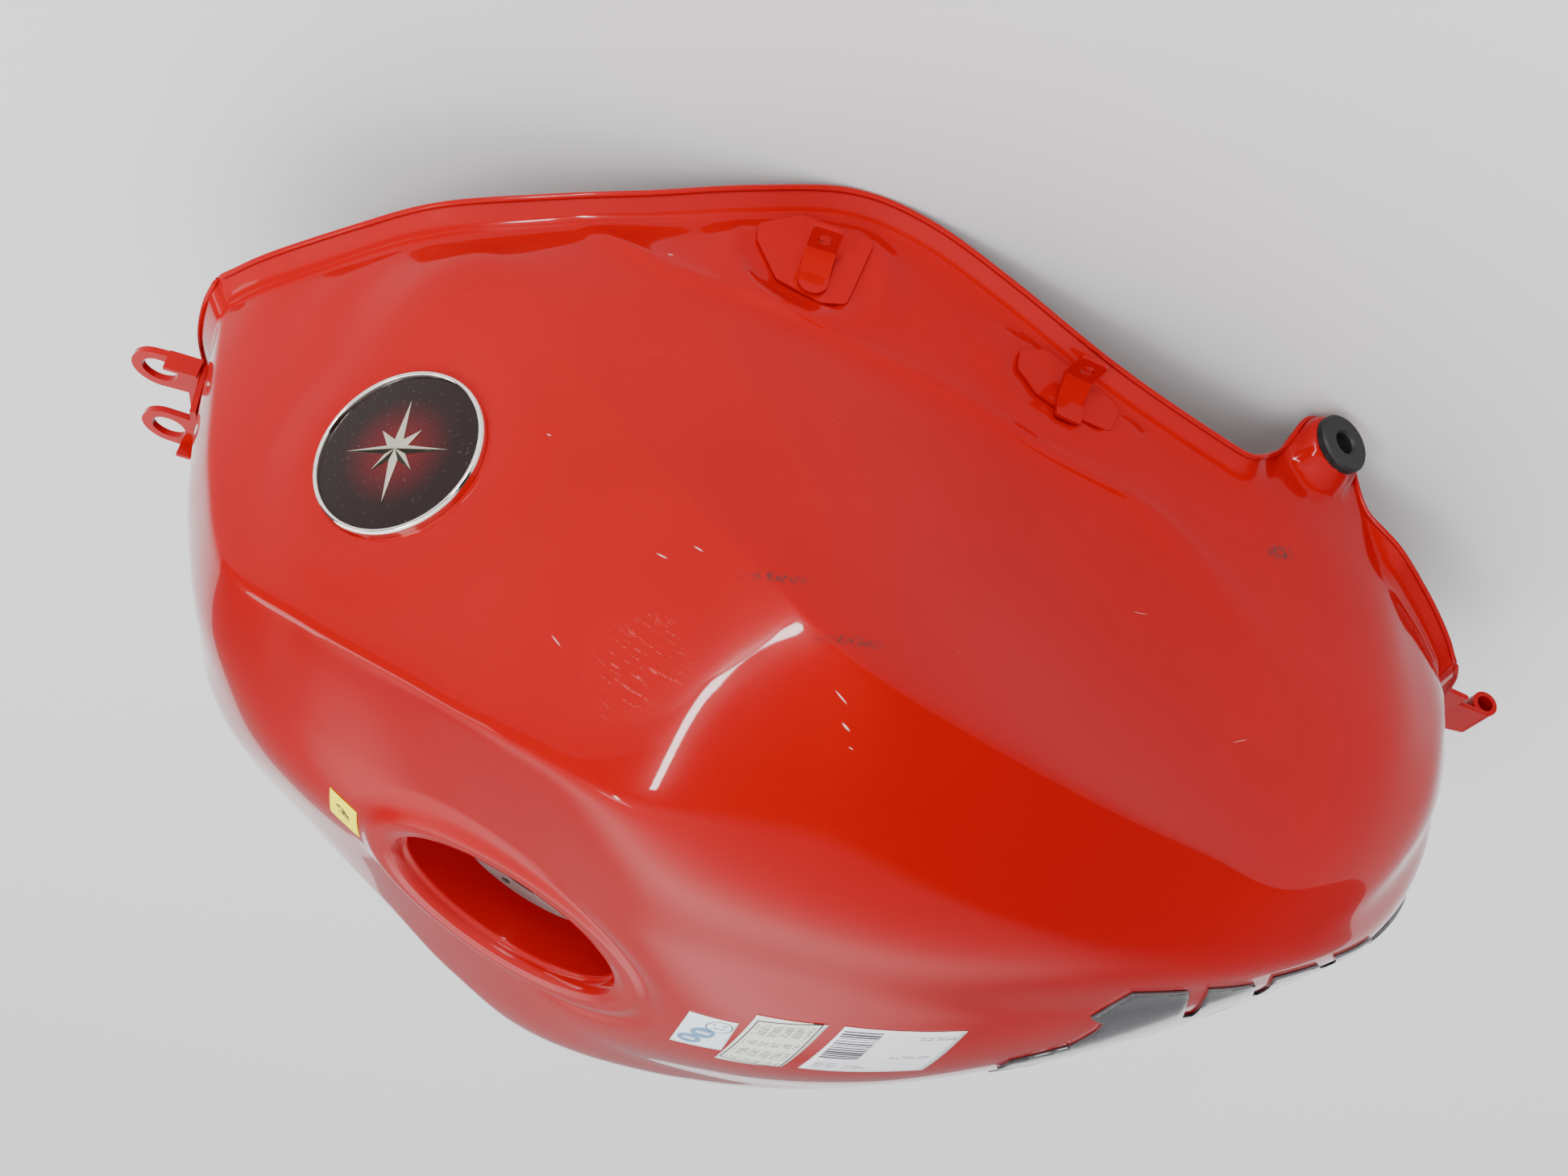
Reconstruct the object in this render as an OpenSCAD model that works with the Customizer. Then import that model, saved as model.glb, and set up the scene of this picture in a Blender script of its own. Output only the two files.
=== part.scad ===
// Fuel tank of a sports motorcycle, standing upright as it sits on the bike.
// +X points to the front of the motorcycle, +Y to its left side and +Z up.
// The origin is under the middle of the whole part, on the plane it stands on.
// The skin is a smooth surface through a net of points set by hand. Its
// stations run from the front edge over the top to the rear edge, and its rows
// run along the tank: spine, shoulder crease, knee crease, band line and foot.

/* [Sheet metal] */
// Thickness of the pressed steel
sheet = 1; // [0.8:0.1:1.2]
// Width of the seam flange, measured level
flange_w = 8; // [6:0.5:9]
// Drop of the seam flange below the foot of the skin
flange_drop = 8.4; // [8:0.1:8.4]
// Steps between two stations of the net
station_steps = 2; // [1:1:3]
// Steps between two rows of the net
row_steps = 2; // [1:1:3]

/* [Filler] */
// Distance of the filler from the middle of the part
filler_x = 113; // [111:0.5:115]
// Height of the filler's mouth
filler_z = 280; // [279:0.5:281]
// Forward pitch of the filler's mouth, in degrees
filler_pitch = 18; // [17:0.5:19]
// Radius of the filler recess at its mouth
cup_r = 52; // [48:1:54]
// Depth of the filler recess
cup_depth = 32; // [28:1:36]
// Radius of the filler neck's bore
neck_r = 24; // [20:0.5:25]

/* [Front bracket] */
// Distance of the front eyelets from the middle of the part
eyelet_x = 315; // [312:1:316]
// Half the distance between the front eyelets
eyelet_y = 23; // [21:1:26]
// Radius of the front eyelets' bores
eyelet_r = 7.5; // [6:0.5:8.5]
// Height of the underside of the front eyelets
eyelet_z = 95; // [94:0.5:96]

/* [Rear bracket] */
// Distance of the rear eye from the middle of the part
rear_eye_x = -320.5; // [-322:0.5:-318]
// Outer radius of the rear eye
rear_eye_r = 6.5; // [6:0.5:7]
// Radius of the rear eye's bore
rear_bore_r = 4; // [3:0.5:4.5]
// Length of the rear eye
rear_eye_len = 22; // [18:1:26]

/* [Side fixings] */
// Radius of the holes in the side tabs
tab_hole_r = 2.8; // [2:0.1:3.2]
// Radius of the bosses that hold the side grommets
boss_r = 19.5; // [18:0.5:19.5]
// Radius of the holes in the bosses
boss_bore_r = 9; // [8:0.5:10]
// Radius of the holes in the grommets
grommet_bore_r = 5; // [4:0.5:6]

/* [Emblems] */
// Outer radius of the round emblems
emblem_r = 34; // [32:0.5:35]

/* [Fuel pump] */
// Distance of the pump's axis from the middle of the part
pump_x = -160; // [-162:1:-158]
// Radius of the pump's flange
pump_flange_r = 48; // [46:1:48]
// Radius of the circle that the pump's studs stand on
stud_circle_r = 42; // [41:0.5:43]
// Radius of a stud
stud_r = 3; // [2.5:0.5:3]

/* [Hidden] */
$fn = 64;

red = "#d3231c";
steel = "#9a9c9e";
black = "#1c1c1d";

// Net of the right half: spine, shoulder crease, knee crease, band line and foot.
NET = [
    [[295, 0, 88], [289, -66, 93], [288, -68, 91], [287, -69, 89], [286, -70, 87]],
    [[289, 0, 130], [279, -72, 128], [271, -83, 88], [270, -84, 85], [269, -85, 81]],
    [[276, 0, 172], [266, -78, 168], [243, -101, 76], [241, -102, 73], [239, -103, 69]],
    [[251, 0, 216], [245, -87, 207], [215, -119, 70], [212, -120, 66], [210, -121, 61]],
    [[205, 0, 249], [208, -107, 230], [185, -136, 75], [179, -131, 60], [175, -130, 50]],
    [[143, 0, 270], [166, -130, 251], [156, -148, 109], [143, -141, 54], [137, -137, 38]],
    [[88, 0, 289], [127, -151, 270], [121, -160, 148], [104, -148, 63], [99, -143, 24]],
    [[38, 0, 306], [83, -163, 285], [71, -180, 196], [67, -148, 70], [61, -145, 11]],
    [[-7, 0, 311], [28, -160, 282], [32, -184, 222], [33, -146, 75], [28, -144, 13]],
    [[-57, 0, 302], [-17, -148, 280], [-12, -170, 227], [-5, -141, 83], [-11, -138, 24]],
    [[-107, 0, 284], [-67, -128, 273], [-73, -143, 227], [-57, -130, 88], [-63, -129, 42]],
    [[-157, 0, 260], [-119, -104, 258], [-124, -118, 224], [-109, -120, 86], [-115, -119, 53]],
    [[-212, 0, 228], [-172, -78, 238], [-173, -93, 220], [-161, -108, 84], [-164, -109, 59]],
    [[-262, 0, 192], [-222, -58, 208], [-222, -72, 190], [-212, -92, 90], [-209, -92, 56]],
    [[-284, 0, 155], [-259, -48, 160], [-257, -60, 150], [-239, -76, 80], [-235, -76, 62]],
    [[-287, 0, 115], [-275, -42, 115], [-270, -52, 110], [-261, -60, 80], [-257, -60, 72]],
    [[-283, 0, 75], [-279, -30, 76], [-275, -40, 77], [-271, -46, 78], [-267, -50, 78]]
];
last = len(NET) - 1;
COLUMNS = [for (k = [0:4]) [for (s = NET) s[k]]];
// Crown, in millimetres, of the panels above the shoulder, above the knee and below it.
TOP_CROWN = [3, 4, 4, 4, 2, 1, 1, 3, 6, 7, 6, 5, 5, 5, 4, 3, 2];
SIDE_CROWN = [0, 0, 1, 2, 3, 3, 3, 2, 0, 0, 0, 0, 0, 1, 1, 1, 0];
KNEE_CROWN = [0, 0, 0, 0, 0, 1, 2, 2, 0, -2, -2, 0, 4, 6, 4, 2, 0];
// How sharp each crease is at each station, from 0 for smooth to 1.
SHOULDER_EDGE = [1, 1, 1, 1, 1, 1, 1, 0.7, 0, 0, 0, 0, 0, 0, 0, 0, 0];
KNEE_EDGE = [0, 0, 0, 0, 0.4, 0.8, 1, 1, 1, 0.8, 0.9, 1, 1, 0.5, 0, 0, 0];
BAND_EDGE = [0, 0, 0, 0, 0.6, 1, 1, 1, 1, 1, 0.7, 0.3, 0, 0, 0, 0, 0];

// Bottom pan of the right half: foot of the tunnel's wall, its top, and the middle of the roof.
PAN = [
    [[288, -66, 92], [292, -34, 90], [294, 0, 88]],
    [[269, -72, 86], [272, -50, 100], [274, 0, 104]],
    [[239, -90, 76], [239, -68, 124], [240, 0, 128]],
    [[210, -108, 68], [210, -84, 142], [210, 0, 147]],
    [[175, -117, 58], [175, -92, 152], [175, 0, 157]],
    [[137, -124, 46], [137, -97, 155], [137, 0, 160]],
    [[99, -130, 32], [99, -100, 156], [99, 0, 161]],
    [[61, -132, 19], [61, -101, 154], [61, 0, 159]],
    [[28, -131, 21], [28, -98, 148], [28, 0, 153]],
    [[-11, -125, 32], [-11, -92, 136], [-11, 0, 140]],
    [[-63, -116, 49], [-63, -84, 112], [-63, 0, 114]],
    [[-109, -106, 60], [-109, -76, 96], [-109, 0, 96]],
    [[-164, -96, 65], [-164, -74, 96], [-164, 0, 96]],
    [[-211, -80, 62], [-211, -64, 96], [-211, 0, 96]],
    [[-235, -66, 68], [-235, -50, 86], [-236, 0, 88]],
    [[-257, -52, 74], [-260, -34, 80], [-262, 0, 80]],
    [[-273, -42, 77], [-280, -25, 76], [-282, 0, 75]]
];
pan_roof_z = 96;

// Middle that the inner face of the skin shrinks towards, and its reach from there.
core = [20, 0, 150];
core_reach = [290, 150, 150];

function mirror_y(p) = [p[0], -p[1], p[2]];
function reverse(list) = [for (i = [len(list) - 1:-1:0]) list[i]];
function unit(v) = v / max(norm(v), 1e-9);
function mix(a, b, f) = a * (1 - f) + b * f;
function hermite(a, b, ta, tb, f) =
    (2 * f^3 - 3 * f^2 + 1) * a + (f^3 - 2 * f^2 + f) * ta + (3 * f^2 - 2 * f^3) * b + (f^3 - f^2) * tb;

// Smooth curve through a list of points or numbers, at station t.
function along(p, t) =
    let (i = min(floor(t), len(p) - 2),
         before = i > 0 ? p[i - 1] : 2 * p[i] - p[i + 1],
         after = i + 2 < len(p) ? p[i + 2] : 2 * p[i + 1] - p[i])
    hermite(p[i], p[i + 1], (p[i + 1] - before) / 2, (after - p[i]) / 2, t - i);
function straight(p, t) = let (i = min(floor(t), len(p) - 2)) mix(p[i], p[i + 1], t - i);
function heading(k, t) = along(COLUMNS[k], min(t + 0.05, last)) - along(COLUMNS[k], max(t - 0.05, 0));

// Middle of a panel between two rows, raised by its crown.
function panel_middle(k, t, crown) =
    let (a = along(COLUMNS[k], t), b = along(COLUMNS[k + 1], t),
         run = unit(heading(k, t) + heading(k + 1, t)))
    (a + b) / 2 + crown * unit(cross(run, b - a));

// The eight points that a cross-section passes through.
function section_knots(t) = [
    along(COLUMNS[0], t), panel_middle(0, t, along(TOP_CROWN, t)),
    along(COLUMNS[1], t), panel_middle(1, t, along(SIDE_CROWN, t)),
    along(COLUMNS[2], t), panel_middle(2, t, along(KNEE_CROWN, t)),
    along(COLUMNS[3], t), along(COLUMNS[4], t)];
function section_edges(t) =
    [0, 0, along(SHOULDER_EDGE, t), 0, along(KNEE_EDGE, t), 0, along(BAND_EDGE, t), 1];

// Direction of the cross-section as it reaches knot i from one side, or leaves it to the other.
function knot_direction(p, i, edge, leaving) =
    let (n = len(p),
         s = [for (j = [0:n - 2]) max(norm(p[j + 1] - p[j]), 1e-6)],
         d = [for (j = [0:n - 2]) (p[j + 1] - p[j]) / s[j]])
    i == 0 ? (p[1] - mirror_y(p[1])) / (2 * s[0])
    : i == n - 1 ? d[n - 2]
    : let (even = (d[i - 1] * s[i] + d[i] * s[i - 1]) / (s[i] + s[i - 1]),
           own = leaving
               ? (i + 2 < n ? d[i] - (d[i + 1] - d[i]) * s[i] / (s[i] + s[i + 1]) : d[i])
               : (i >= 2 ? d[i - 1] + (d[i - 1] - d[i - 2]) * s[i - 1] / (s[i - 1] + s[i - 2]) : d[i - 1]))
      mix(even, own, min(max(edge, 0), 1));

// Points of the right half of a cross-section, from the spine to the foot.
function half_section(t) =
    let (p = section_knots(t), e = section_edges(t), n = len(p),
         leave = [for (i = [0:n - 2]) knot_direction(p, i, e[i], true)],
         reach = [for (i = [1:n - 1]) knot_direction(p, i, e[i], false)])
    [for (i = [0:n - 2]) let (s = norm(p[i + 1] - p[i])) for (q = [0:row_steps - 1])
        hermite(p[i], p[i + 1], leave[i] * s, reach[i] * s, q / row_steps), p[n - 1]];

// One point of the skin: station t and row v, where a negative row is on the left side.
function skin(t, v) =
    let (p = section_knots(t), e = section_edges(t), i = min(floor(abs(v)), len(p) - 2),
         s = norm(p[i + 1] - p[i]),
         q = hermite(p[i], p[i + 1], knot_direction(p, i, e[i], true) * s,
                     knot_direction(p, i + 1, e[i + 1], false) * s, abs(v) - i))
    v < 0 ? mirror_y(q) : q;
function skin_normal(t, v) =
    unit(cross(skin(t + 0.04, v) - skin(t - 0.04, v), skin(t, v + 0.04) - skin(t, v - 0.04)));

function shrink(p) = [for (i = [0:2]) p[i] - (p[i] - core[i]) * sheet / core_reach[i]];
function lip(p, angle) = p + [flange_w * cos(angle), flange_w * sin(angle), -flange_drop];
function side_angle(t) = let (d = heading(4, t)) atan2(d[0], -d[1]);
front_corner = -30;
rear_corner = -150;
function end_angle(p, front) = front ? front_corner * -p[1] / 70 : -180 + (rear_corner + 180) * -p[1] / 50;

// Line across the skin at station t, from the right lip to the left lip.
function skin_line(t, inner) =
    let (half = reverse(half_section(t)), foot = half[0],
         edge = lip(foot, side_angle(t)) - [0, 0, inner ? sheet : 0],
         right = concat([edge], inner ? [for (p = half) shrink(p)] : half))
    concat(right, [for (i = [len(right) - 2:-1:0]) mirror_y(right[i])]);

// Flange line beyond the front or the rear edge of the skin.
function end_line(front, inner) =
    let (t = front ? 0 : last, half = reverse(half_section(t)),
         corner = (side_angle(t) + end_angle(half[0], front)) / 2,
         drop = [0, 0, inner ? sheet : 0],
         right = concat([lip(half[0], corner) - drop], [for (p = half) lip(p, end_angle(p, front)) - drop]))
    concat(right, [for (i = [len(right) - 2:-1:0]) mirror_y(right[i])]);

stations = [for (i = [0:last * station_steps]) i / station_steps];

// Solid between two stacks of lines that run the same way.
module between(outer, inner) {
    m = len(outer[0]);
    n = len(outer);
    rings = [for (i = [0:n - 1]) concat(outer[i], reverse(inner[i]))];
    side_faces = [for (i = [0:n - 2]) for (j = [0:2 * m - 1])
        let (a = i * 2 * m + j, b = i * 2 * m + (j + 1) % (2 * m), c = b + 2 * m, d = a + 2 * m)
        each [[a, c, b], [a, d, c]]];
    cap_faces = [for (i = [0, n - 1]) for (j = [0:m - 2])
        let (a = i * 2 * m + j, b = a + 1, c = i * 2 * m + 2 * m - 2 - j, d = c + 1)
        each (i == 0 ? [[a, b, c], [a, c, d]] : [[a, c, b], [a, d, c]])];
    polyhedron([for (r = rings) each r], concat(side_faces, cap_faces), convexity = 10);
}

// The cup's raised bead fills the opening in the skin and hides its edge.
bead_w = 11;
bead_h = 2.4;
floor_r = cup_r - 6;

module filler_frame() {
    translate([filler_x, 0, filler_z]) rotate([0, filler_pitch, 0]) children();
}

module outer_shell() {
    outer = concat([end_line(true, false)], [for (t = stations) skin_line(t, false)], [end_line(false, false)]);
    inner = concat([end_line(true, true)], [for (t = stations) skin_line(t, true)], [end_line(false, true)]);
    color(red) difference() {
        between(outer, inner);
        filler_frame() translate([0, 0, -40]) cylinder(r = cup_r + bead_w + 0.3, h = 70);
    }
}

seam_gap = [0, 0, 0.1];

// Line across the bottom pan at station t; the flange lies under the skin's flange.
function pan_line(t, lower) =
    let (foot = along(COLUMNS[4], t),
         rim = [lip(foot, side_angle(t)) - [0, 0, sheet], shrink(foot)] - [seam_gap, seam_gap],
         wall = [for (k = [0:2]) straight([for (s = PAN) s[k]], t)],
         right = concat(
             [for (p = rim) p - [0, 0, lower ? sheet : 0]],
             [for (p = wall) p + (lower ? [0, p[1] < 0 ? sheet : 0, -sheet] : [0, 0, 0])]))
    concat(right, [for (i = [len(right) - 2:-1:0]) mirror_y(right[i])]);
function pan_end(front, lower) =
    let (t = front ? 0 : last, foot = along(COLUMNS[4], t),
         base = concat([foot], PAN[t]),
         corner = (side_angle(t) + end_angle(foot, front)) / 2,
         drop = [0, 0, lower ? 2 * sheet : sheet] + seam_gap,
         right = concat([lip(foot, corner) - drop], [for (p = base) lip(p, end_angle(p, front)) - drop]))
    concat(right, [for (i = [len(right) - 2:-1:0]) mirror_y(right[i])]);

module on_stud_circle() {
    for (i = [0:5]) translate([pump_x, 0, 0]) rotate([0, 0, 60 * i + 30]) translate([stud_circle_r, 0, 0]) children();
}

drain_at = [142, 0];
breather_at = [103, 41];
pipe_r = 3.5;
pipe_bore_r = 2.5;
nipple_z = 150;

module bottom_pan() {
    upper = concat([pan_end(true, false)], [for (t = stations) pan_line(t, false)], [pan_end(false, false)]);
    lower = concat([pan_end(true, true)], [for (t = stations) pan_line(t, true)], [pan_end(false, true)]);
    color(red) difference() {
        between(upper, lower);
        translate([pump_x, 0, pan_roof_z - 10]) cylinder(r = 36, h = 20);
        on_stud_circle() translate([0, 0, pan_roof_z - 10]) cylinder(r = stud_r + 0.2, h = 20);
        for (p = [drain_at, breather_at]) translate([p[0], p[1], nipple_z - 5]) cylinder(r = pipe_r, h = 30);
    }
}

neck_flange_r = 36;
neck_top = 11;

module filler_cup() {
    color(red) difference() {
        filler_frame() rotate_extrude() polygon([
            [cup_r, -1], [cup_r + 1, 1.4], [cup_r + 3, bead_h], [cup_r + 8, bead_h], [cup_r + 10.4, 1.2],
            [cup_r + bead_w, -0.8], [cup_r + bead_w, -5.5], [cup_r + bead_w - sheet, -5.5],
            [cup_r + bead_w - sheet, -1.2], [cup_r + 9.6, 0.2], [cup_r + 7.6, bead_h - sheet],
            [cup_r + 3.4, bead_h - sheet], [cup_r + 2, 0.6], [cup_r + sheet, -1.2],
            [floor_r + sheet, -cup_depth - sheet], [neck_r + 4, -cup_depth - sheet],
            [neck_r + 4, -cup_depth], [floor_r, -cup_depth]]);
        for (p = [drain_at, breather_at]) translate([p[0], p[1], 200]) cylinder(r = pipe_r, h = 80);
    }
}

module filler_neck() {
    color(steel) filler_frame() difference() {
        union() {
            translate([0, 0, -cup_depth]) cylinder(r = neck_flange_r, h = neck_top);
            translate([0, 0, -cup_depth - 40]) cylinder(r = neck_r + 2, h = 40);
        }
        translate([0, 0, -cup_depth - 50]) cylinder(r = neck_r, h = 70);
        for (i = [0:4]) rotate([0, 0, 72 * i]) translate([30, 0, -cup_depth - 1]) cylinder(r = 2.1, h = 20);
    }
}

// Upright pipe from below the pan's roof up to the floor of the filler cup.
module cup_pipe(at) {
    slope = tan(filler_pitch);
    top = filler_z - (cup_depth + sheet) / cos(filler_pitch) - (at[0] - filler_x) * slope;
    color(red) translate([at[0], at[1], nipple_z]) difference() {
        cylinder(r = pipe_r, h = top - nipple_z + pipe_r * slope);
        translate([0, 0, -1]) cylinder(r = pipe_bore_r, h = top);
    }
}
module drain_pipe() { cup_pipe(drain_at); }
module breather_pipe() { cup_pipe(breather_at); }

module baffle_plate() {
    color(steel) translate([-76, 0, 0]) rotate([90, 0, 90]) linear_extrude(sheet) difference() {
        polygon([[-106, 180], [-82, 120], [82, 120], [106, 180], [104, 240], [60, 272], [-60, 272], [-104, 240]]);
        for (y = [-72, -24, 24, 72]) translate([y, 195]) circle(r = 17);
    }
}

bracket_t = 3;

module front_mount_bracket() {
    ear_r = 12;
    root_x = 296.5;
    color(red) difference() {
        union() {
            for (side = [-1, 1]) hull() {
                translate([eyelet_x, side * eyelet_y, eyelet_z]) cylinder(r = ear_r, h = bracket_t);
                translate([root_x, side * (eyelet_y + 1) - 12, eyelet_z]) cube([2, 24, bracket_t]);
            }
            translate([root_x, -30, eyelet_z]) cube([7, 60, bracket_t]);
            for (side = [-1, 1]) translate([root_x, side * 35 - 1, eyelet_z]) cube([14, 2, 9]);
            translate([root_x - 1.6, 0, eyelet_z]) rotate([0, -8, 0]) translate([0, -33, 0]) cube([2.5, 66, 24]);
        }
        for (side = [-1, 1]) translate([eyelet_x, side * eyelet_y, eyelet_z - 5]) cylinder(r = eyelet_r, h = 20);
    }
}

rear_eye_z = 57.5;

module rear_mount_bracket() {
    rod = 1.25;
    tongue_z = rear_eye_z + rear_eye_r - rod;
    module bar(x, z, w) { translate([x, w / 2, z]) rotate([90, 0, 0]) cylinder(r = rod, h = w); }
    color(red) difference() {
        union() {
            hull() {
                bar(-282.2, 69.7, 44);
                bar(-289.4, 62, 44);
            }
            hull() {
                bar(-289.4, 62, 44);
                bar(-304, tongue_z, 40);
            }
            hull() {
                bar(-304, tongue_z, 26);
                bar(rear_eye_x + 1, tongue_z, rear_eye_len);
            }
            translate([rear_eye_x, rear_eye_len / 2, rear_eye_z]) rotate([90, 0, 0])
                cylinder(r = rear_eye_r, h = rear_eye_len);
        }
        translate([rear_eye_x, rear_eye_len, rear_eye_z]) rotate([90, 0, 0])
            cylinder(r = rear_bore_r, h = 2 * rear_eye_len);
    }
}

// Children are drawn on the right side, and mirrored for the left.
module on_side(left) {
    if (left) mirror([0, 1, 0]) children();
    else children();
}

// Frame on the lower side band: local +Y points out of the tank, local Z up.
module band_frame(at, yaw) {
    translate(at) rotate([0, 0, yaw]) mirror([0, 1, 0]) children();
}
front_patch_at = [68, -148, 38];
front_yaw = 1;
rear_patch_at = [-46, -134, 49];
rear_yaw = -11;
patch_t = 1.2;

module patch(outline) {
    color(red) rotate([90, 0, 0]) mirror([0, 0, 1]) linear_extrude(patch_t) offset(r = 3) offset(delta = -3)
        polygon(outline);
}
FRONT_PATCH = [[26, -8], [25, 0], [14, 16], [-5, 21], [-15, 18], [-21, -17], [10, -19]];
REAR_PATCH = [[25, -6], [25, 3], [15, 11], [1, 14], [-21, 13], [-24, 0], [-8, -7], [14, -12]];
module front_patch(left) { on_side(left) band_frame(front_patch_at, front_yaw) patch(FRONT_PATCH); }
module rear_patch(left) { on_side(left) band_frame(rear_patch_at, rear_yaw) patch(REAR_PATCH); }

tab_w = 12;
tab_t = 1.8;
tab_out = 12;

// Stepped tab: foot on the patch, sloping riser and a level shelf with the screw hole. The foot is round or square.
module tab(shelf_z, foot_corner) {
    color(red) translate([0, patch_t, shelf_z]) difference() {
        union() {
            hull() {
                for (s = [-1, 1]) translate([s * (tab_w / 2 - shelf_corner), tab_out + 4.5, 0])
                    cylinder(r = shelf_corner, h = tab_t);
                translate([-tab_w / 2, 5, 0]) cube([tab_w, 2, tab_t]);
            }
            hull() {
                translate([-tab_w / 2, 4, 0]) cube([tab_w, 2, tab_t]);
                translate([-tab_w / 2, 0, 10]) cube([tab_w, tab_t, 1]);
            }
            hull() {
                translate([-tab_w / 2, 0, 10]) cube([tab_w, tab_t, 1]);
                for (s = [-1, 1]) translate([s * (tab_w / 2 - foot_corner), tab_t, 20 - foot_corner])
                    rotate([90, 0, 0]) cylinder(r = foot_corner, h = tab_t);
            }
        }
        translate([0, tab_out, -5]) cylinder(r = tab_hole_r, h = 20);
    }
}
shelf_corner = 1.5;
module front_tab(left) { on_side(left) band_frame(front_patch_at, front_yaw) tab(-1, 5.9); }
module rear_tab(left) { on_side(left) band_frame(rear_patch_at, rear_yaw) tab(-2, 2); }

boss_at = [-173.6, -104.5, 19.5];
boss_yaw = -18;
boss_depth = 12;

module boss_frame(left) {
    on_side(left) translate(boss_at) rotate([90, 0, boss_yaw]) children();
}
module grommet_boss(left) {
    color(red) difference() {
        boss_frame(left) hull() {
            cylinder(r = boss_r, h = boss_depth);
            translate([-29, 24, 0]) cube([52, 6, 3]);
        }
        boss_frame(left) translate([0, 0, -5]) cylinder(r = boss_bore_r, h = 30);
    }
}
module grommet(left) {
    color(black) boss_frame(left) rotate_extrude() polygon([
        [grommet_bore_r, -3], [12, -3], [12, 0], [boss_bore_r, 0], [boss_bore_r, boss_depth],
        [13.5, boss_depth], [13.5, boss_depth + 3], [12.5, boss_depth + 4], [grommet_bore_r + 1, boss_depth + 4],
        [grommet_bore_r, boss_depth + 3]]);
}

emblem_at = [195.2, -125.4, 164];
emblem_normal = [0.51, -0.86, 0.09];

module emblem_frame(left) {
    on_side(left) translate(emblem_at)
        rotate([0, acos(emblem_normal[2] / norm(emblem_normal)), atan2(emblem_normal[1], emblem_normal[0])])
        children();
}
module emblem_bezel(left) {
    color("silver") emblem_frame(left) rotate_extrude() polygon([
        [emblem_r - 3, 0.6], [emblem_r, 0.6], [emblem_r, 2.6], [emblem_r - 0.8, 3.6], [emblem_r - 2.2, 3.6],
        [emblem_r - 3, 2.4]]);
}
module emblem_dome(left) {
    color("#4a0d0f") emblem_frame(left) rotate_extrude() polygon([
        [0, 0.6], [emblem_r - 3, 0.6], [emblem_r - 3, 2.4], [emblem_r * 0.6, 3.2], [0, 3.6]]);
}

skin_gap = 0.5;

// Thin sheet lying on the skin. The right and left edges are tables of station and row.
module on_skin(steps, columns, right, left, thick) {
    first = right[0][0];
    final = right[len(right) - 1][0];
    function line(i, lift) = let (t = mix(first, final, i / steps)) [for (j = [0:columns])
        let (v = mix(lookup(t, right), lookup(t, left), j / columns)) skin(t, v) + skin_normal(t, v) * lift];
    between([for (i = [0:steps]) line(i, skin_gap + thick)], [for (i = [0:steps]) line(i, skin_gap)]);
}

// Half width of the protector down the rear of the tank: a spine with four pairs of barbs.
PAD_EDGE = [
    [9.86, 0.06], [10.3, 0.28], [10.5, 0.8], [10.78, 1.36], [11.28, 1.27], [11.36, 0.4], [11.46, 1.22],
    [11.88, 1.05], [11.96, 0.3], [12.06, 1.1], [12.48, 1.05], [12.6, 0.35], [12.66, 1.1], [13.04, 0.95],
    [13.3, 0.45], [13.7, 0.2], [14.1, 0.06]];
module tank_pad() {
    color("#2e2f31") on_skin(40, 8, PAD_EDGE, [for (e = PAD_EDGE) [e[0], -e[1]]], 1.2);
}

LABEL_T = 0.3;
module label_front() { color("yellow") on_skin(2, 4, [[4.24, 0.24], [4.46, 0.24]], [[4.24, -0.24], [4.46, -0.24]], LABEL_T); }
module label_small() { color("white") on_skin(3, 4, [[7.12, 0.4], [7.48, 0.5]], [[7.12, -0.2], [7.48, -0.05]], LABEL_T); }
module label_table() { color("white") on_skin(3, 4, [[7.6, 0.64], [8.1, 0.74]], [[7.6, -0.12], [8.1, 0]], LABEL_T); }
module label_stripes() { color("white") on_skin(5, 4, [[8.16, 0.74], [9.15, 0.78]], [[8.16, 0.06], [9.15, 0.12]], LABEL_T); }

under_pan = pan_roof_z - sheet;
gasket_t = 2;
pump_plate_t = 4;
nut_h = 5;
plate_z = under_pan - gasket_t - pump_plate_t;

module pump_mount_ring() {
    color(steel) difference() {
        union() {
            translate([pump_x, 0, pan_roof_z]) cylinder(r = 47, h = 3);
            on_stud_circle() translate([0, 0, plate_z - 9]) cylinder(r = stud_r, h = pan_roof_z - plate_z + 10);
        }
        translate([pump_x, 0, pan_roof_z - 5]) cylinder(r = 36, h = 20);
    }
}
module pump_gasket() {
    color(black) difference() {
        translate([pump_x, 0, under_pan - gasket_t]) cylinder(r = pump_flange_r - 1, h = gasket_t);
        translate([pump_x, 0, under_pan - gasket_t - 5]) cylinder(r = 37, h = 20);
        on_stud_circle() translate([0, 0, plate_z - 5]) cylinder(r = stud_r + 0.1, h = 40);
    }
}
module pump_flange() {
    color(black) difference() {
        translate([pump_x, 0, plate_z]) cylinder(r = pump_flange_r, h = pump_plate_t);
        on_stud_circle() translate([0, 0, plate_z - 5]) cylinder(r = stud_r + 0.3, h = 40);
    }
}
module pump_nuts() {
    color(steel) on_stud_circle() translate([0, 0, plate_z - nut_h]) difference() {
        cylinder(r = 5.8, h = nut_h, $fn = 6);
        translate([0, 0, -1]) cylinder(r = stud_r + 0.05, h = nut_h + 2, $fn = 48);
    }
}
pump_base_z = plate_z + pump_plate_t;
module pump_body() {
    color(steel) translate([pump_x, 0, pump_base_z]) {
        cylinder(r = 18, h = 84);
        translate([0, 0, 84]) cylinder(r1 = 18, r2 = 10, h = 5);
        translate([0, 0, 89]) cylinder(r = 5, h = 9);
    }
}
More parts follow.
